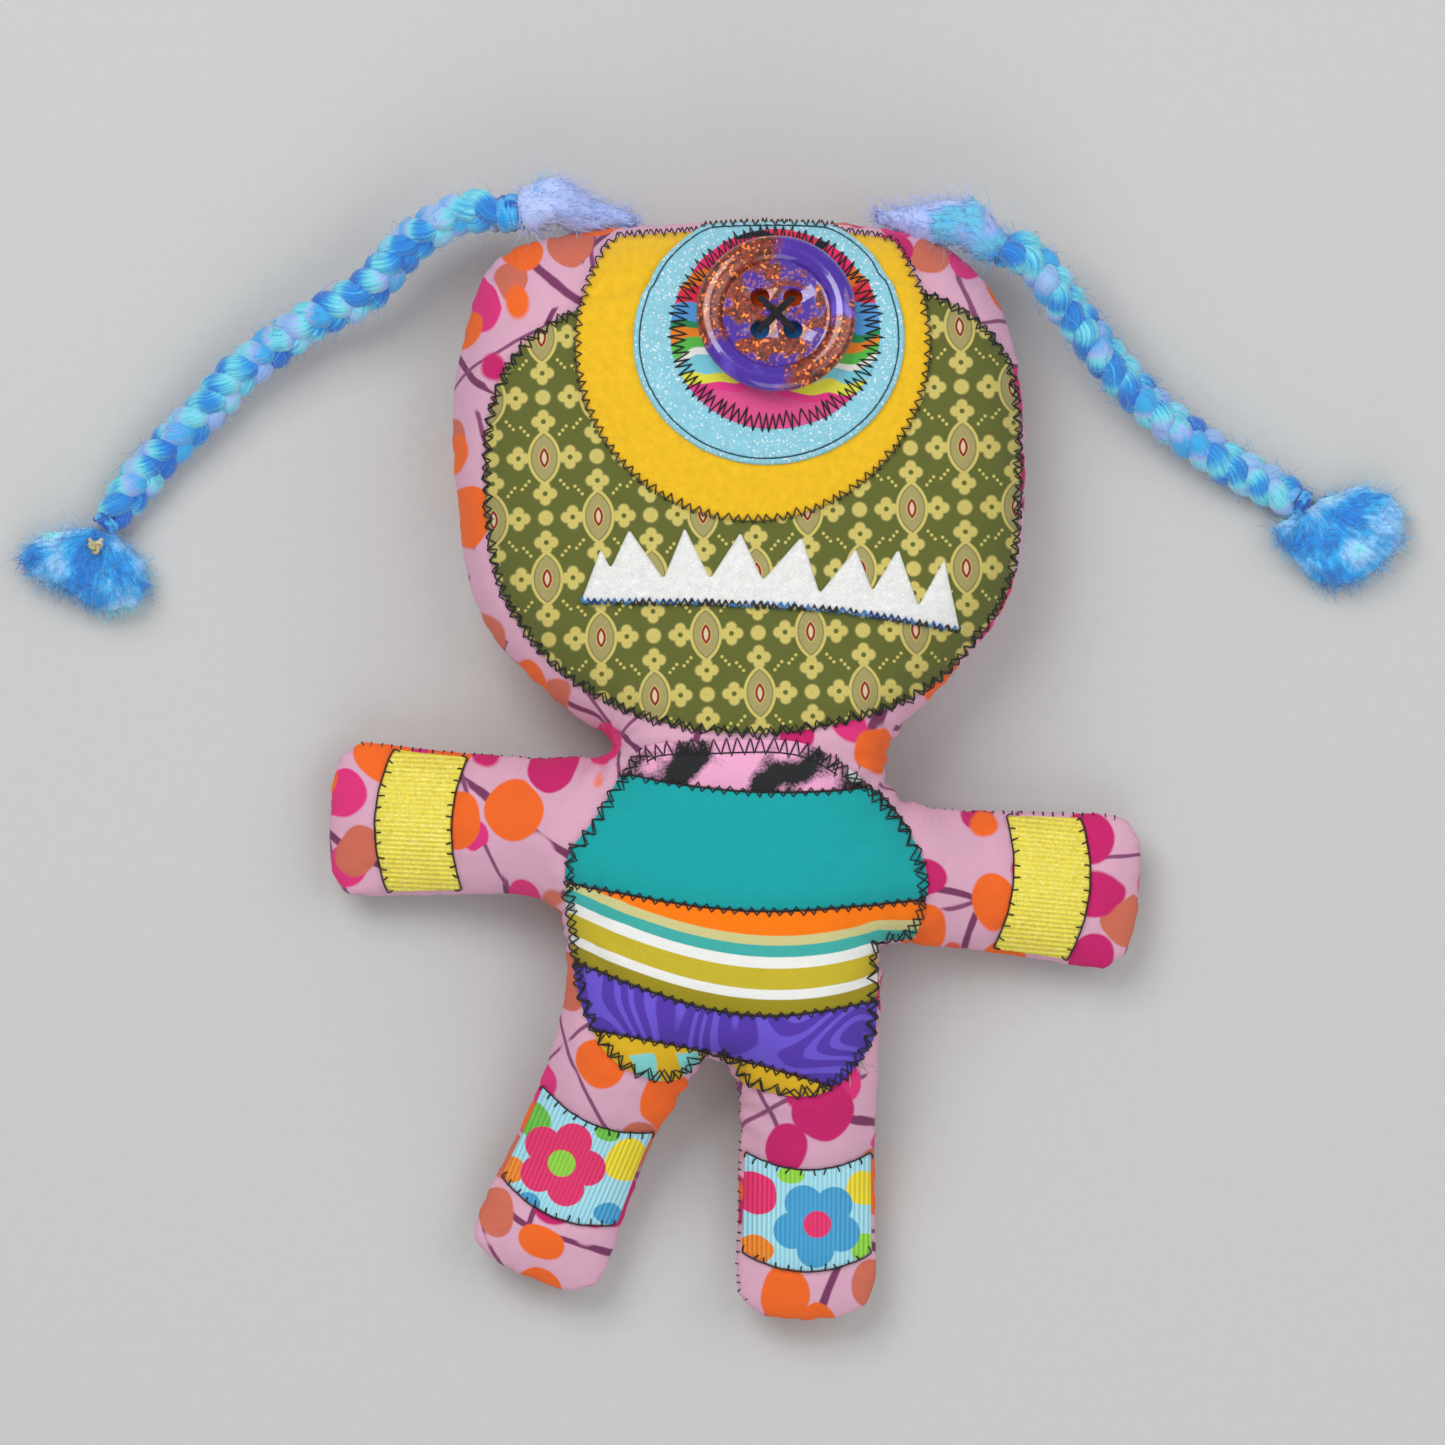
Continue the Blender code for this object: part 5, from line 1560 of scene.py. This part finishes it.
def hank(rng, nodes, side, path):
    """Loose roving from the head's seam to the plait: it narrows into the seam, and has a halo."""
    name = f"hank_{side}"
    start = path[0]
    codes, slope, level, full = {
        "left": (("#B4C8FA", "#C6D4FC", "#A9C4F8", "#6FC4F2"), 0.012, 4.0, 1.4),
        "right": (("#B9CAFA", "#A9C0F8", "#4FB0EC", "#86E4EE", "#3F9CE6"), 0.022, 10.0, 1.45),
    }[side]
    paint = fleece_paint(f"roving_{side}", codes, 13.0, slope, level)
    ob, co, normals = fluff(f"{name}_wool", nodes[name], 0.5 * MM, 0.2 * MM, paint, start)
    far = np.linalg.norm(co - start, axis=1)
    axis = co[far > 0.85 * far.max()].mean(0) - start
    axis /= np.linalg.norm(axis)
    s = (co - start) @ axis
    s /= s.max()
    middle = np.stack([np.polyval(np.polyfit(s, co[:, k], 2), s) for k in range(3)], axis=1)
    end = smooth01((s - 0.55) / 0.45)
    drop = np.array((0.0, -2.2 * MM, -1.0 * MM))
    begin = 1.0 + (full - 1.0) * smooth01(s / 0.3)
    girth = begin + (0.42 - full) * end
    co = middle + (co - middle) * girth[:, None] + end[:, None] * (axis * 3.5 * MM + drop)
    move_points(ob, co)
    out = np.tile(axis, (len(co), 1))
    ways = combed(normals, out)
    ob = halo_of(rng, ob, start, co, ways, (300, 700), 5 * MM, 0.2, 0.11 * MM)
    ways = normals * 0.75 + out * rng.normal(0, 0.8, (len(co), 1))
    ob = halo_of(rng, ob, start, co, ways, (300, 700), 3.2 * MM, 1.2, FIBRE)
    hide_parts(name)
    return ob


def binding(nodes, name, turns, radius, code):
    """Turns of thread round the wool where its solid is."""
    co = welded(nodes[name])[0]
    middle = co.mean(0)
    _, _, ways = np.linalg.svd(co - middle, full_matrices=False)
    long = [np.ptp((co - middle) @ w) for w in ways]
    pairs = [abs(long[(k + 1) % 3] - long[(k + 2) % 3]) for k in range(3)]
    axis = ways[int(np.argmin(pairs))]
    level = (co - middle) @ axis
    size = np.linalg.norm((co - middle) - np.outer(level, axis), axis=1).max() - radius * 0.6
    deep = np.ptp(level)
    side = np.cross(axis, (0, 0, 1.0))
    side /= np.linalg.norm(side)
    up = np.cross(side, axis)
    steps = 22 * turns
    t = np.linspace(0, 1, steps + 1)
    turn = TURN * turns * t
    points = middle + np.outer((t - 0.5) * deep * 0.75, axis)
    points += size * (np.cos(turn)[:, None] * side + np.sin(turn)[:, None] * up)
    points[:, 2] = np.maximum(points[:, 2], radius)
    paint = wool_paint(f"{name}_wool", (code, "#4FB4EA", "#2456B4"), 5.0)
    lines = [(points, np.tile(axis, (steps + 1, 1)))]
    ob = tubes(f"{name}_turns", lines, radius, paint, sides=8, cloth=[(0.0, 0.5)])
    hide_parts(name)
    return ob


def tuft(rng, nodes, side, path):
    """Cut wool that fans out from the tie as a soft mass, combed outward and with loose fibres."""
    name = f"tuft_{side}"
    codes = ("#2F88DC", "#36A6EA", "#58C4F2", "#AFC6FA", "#8CEAF2")
    paint = fleece_paint(f"tuft_wool_{side}", codes, 12.0)
    onward = (path[-1] - path[-4]) / np.linalg.norm(path[-1] - path[-4])
    neck = path[-1] + onward * 3.0 * MM
    lobes = {
        "left": ((198, 15, 3.0), (327, 13, 2.5), (235, 16, -2.0), (165, 12, -2.5)),
        "right": ((32, 12, 4.5), (10, 9, -1.5), (-92, 26, -12.5), (180, 30, 2.0)),
    }[side]
    spread = (-45, 1.5) if side == "right" else None
    ob, co, normals = fluff(f"{name}_yarn", nodes[name], 0.2 * MM, 0.7 * MM, paint, neck, lobes, spread)
    out = unit(co - neck)
    ways = combed(normals, out)
    ob = halo_of(rng, ob, neck, co, ways, (600, 1600), 3.0 * MM, 0.5, 0.10 * MM)
    ways = normals * 0.6 + out * 0.6
    ob = halo_of(rng, ob, neck, co, ways, (600, 1500), 2.4 * MM, 1.4, FIBRE)
    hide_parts(name)
    return ob


def knot(nodes):
    """A small knot of pale thread, with its two cut ends."""
    co = welded(nodes["knot_left"])[0]
    middle = (co.min(0) + co.max(0)) / 2
    size = 1.25 * MM
    steps = 40
    t = np.linspace(0, TURN, steps)
    curl = np.stack((np.sin(t) + 2 * np.sin(2 * t), np.cos(t) - 2 * np.cos(2 * t), -np.sin(3 * t)), axis=1)
    points = middle + curl * size / 2.4
    lines = [(points, np.tile((0.0, 0.0, 1.0), (steps, 1)))]
    for sign in (1, -1):
        s = np.linspace(0, 1, FIBRE_POINTS)[:, None]
        end = middle + np.array((sign * 1.0, 1.2, 0.2)) * 1.6 * s * MM
        end = end + np.array((0, 0, -1.0)) * s**2 * MM
        lines.append((end, np.tile((1.0, 0.0, 0.0), (FIBRE_POINTS, 1))))
    paint = thread_paint("cream_thread", ("#D8CFA8", "#C4B98A"))
    ob = tubes("thread_knot", lines, 0.5 * MM, paint, sides=8)
    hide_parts("knot_left")
    return ob


def button_frame(node):
    """Where the button's solid lies: a matrix from its own axes, Z out of its face."""
    co = welded(node)[0]
    middle = co.mean(0)
    _, _, ways = np.linalg.svd(co - middle, full_matrices=False)
    axis = ways[2] * np.sign(ways[2][2])
    turn = Vector((0, 0, 1)).rotation_difference(Vector(axis)).to_matrix()
    local = (co - middle) @ np.array(turn)
    centre = (local.min(0) + local.max(0)) / 2
    base = np.array((centre[0], centre[1], local[:, 2].min()))
    origin = middle + np.array(turn) @ base
    return Matrix.Translation(origin) @ turn.to_4x4()


def button(nodes):
    """The four-hole button: domed back, round raised rim, dished middle, and thread in a cross."""
    world = button_frame(nodes["eye_button"])
    radius, dish = BUTTON_DIAMETER / 2, BUTTON_DISH / 2
    floor = BUTTON_THICK - BUTTON_DISH_DEPTH
    rim_mid, half_rim = (radius + dish) / 2, (radius - dish) / 2
    profile = [(0.0, 0.0), (0.55 * radius, 0.0), (0.8 * radius, 0.12 * MM), (0.9 * radius, 0.6 * MM)]
    rim_base = 0.55 * BUTTON_THICK
    for k in range(19):
        turn = math.pi * (k / 18 * 1.12 - 0.12)
        profile.append((
            rim_mid + half_rim * math.cos(turn),
            max(rim_base + (BUTTON_THICK - rim_base) * math.sin(turn), 0.9 * MM if k < 2 else floor),
        ))
    profile += [
        (dish - 0.9 * MM, floor + 0.05 * MM), (dish - 1.8 * MM, floor), (0.5 * dish, floor), (0.0, floor)
    ]
    steps = 96
    round_ = [(math.cos(TURN * k / steps), math.sin(TURN * k / steps)) for k in range(steps)]
    verts, faces = [], []
    for r, z in profile[1:-1]:
        verts += [(r * x, r * y, z) for x, y in round_]
    rows = len(profile) - 2
    for row in range(rows - 1):
        for k in range(steps):
            a, b = row * steps + k, row * steps + (k + 1) % steps
            faces.append((a, b, b + steps, a + steps))
    faces.append(tuple(range(steps))[::-1])
    faces.append(tuple((rows - 1) * steps + k for k in range(steps)))
    mesh = bpy.data.meshes.new("button")
    mesh.from_pydata(verts, [], faces)
    ob = linked("button", mesh)
    half = HOLE_SPACING / 2
    for x, y in ((half, half), (-half, half), (-half, -half), (half, -half)):
        bm = bmesh.new()
        bmesh.ops.create_cone(
            bm, cap_ends=True, segments=32, radius1=HOLE_DIAMETER / 2,
            radius2=HOLE_DIAMETER / 2 + 0.35 * MM, depth=2 * floor + 0.5 * MM,
        )
        bmesh.ops.translate(bm, vec=(x, y, 0.2 * MM), verts=bm.verts)
        drill = bpy.data.meshes.new("drill")
        bm.to_mesh(drill)
        bm.free()
        tool = linked("drill", drill)
        modifier(ob, "BOOLEAN", operation="DIFFERENCE", solver="EXACT", object=tool)
        applied(ob)
        bpy.data.objects.remove(tool)
        bpy.data.meshes.remove(drill)
    modifier(
        ob, "BEVEL", width=0.18 * MM, segments=2, limit_method="ANGLE", angle_limit=math.radians(40)
    )
    applied(ob)
    mark(ob.data, points_of(ob.data) / MM)
    ob.data.materials.clear()
    ob.data.materials.append(resin())
    ob.data.shade_smooth()
    ob.data.set_sharp_from_angle(angle=math.radians(50))
    ob.data.transform(world)
    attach(ob, "root")
    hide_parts("eye_button")
    lines = []
    thick = 0.34 * MM
    for x, y in ((half, half), (-half, half)):
        for k in (-1, 0, 1):
            off = Vector((-y, x, 0)).normalized() * k * thick * 1.5
            rise = floor + thick * (1.5 + (0.9 if x < 0 else 0.0))
            path = [(x, y, 0.5 * MM), (x, y, floor - 0.3 * MM), (0.82 * x, 0.82 * y, floor + thick)]
            path += [(0.4 * x, 0.4 * y, rise), (0, 0, rise + 0.15 * MM)]
            path += [(-a, -b, c) for a, b, c in reversed(path[:-1])]
            path = [tuple(Vector(p) + off * (0.5 + 0.5 * (abs(p[0]) < half))) for p in path]
            run = np.array([tuple(world @ Vector(p)) for p in smooth_route(path, 0.4 * MM)])
            side = np.array(world.to_3x3() @ Vector((-y, x, 0)).normalized())
            lines.append((run, np.tile(side, (len(run), 1))))
    paint = thread_paint("button_thread", ("#101013", "#1A1A1E"))
    cross = tubes("crossed_thread", lines, thick, paint, sides=8)
    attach(cross, "root")
    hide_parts("button_thread")


def main():
    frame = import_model()
    nodes = frame["nodes"]
    rng = np.random.default_rng(7)
    frames = {name: Frame2D(*axes) for name, axes in AXES.items()}
    stage()
    hair(nodes, rng)
    sewn = ["face_panel", *BANDS] + [name for name in nodes if name.startswith("chest_patch")]
    edges = [spaced(border(nodes[name]), 1.0 * MM, True) for name in sewn]
    body, seam = fine_body(nodes["stuffed_body"], edges)
    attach(body, "root")
    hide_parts("stuffed_body")
    surface = Surface(body)
    outlines = appliques(surface, nodes, frames)
    stitching(surface, outlines, seam, frames, rng)
    frayed(surface, outlines, frames["torso"], rng)
    button(nodes)


main()
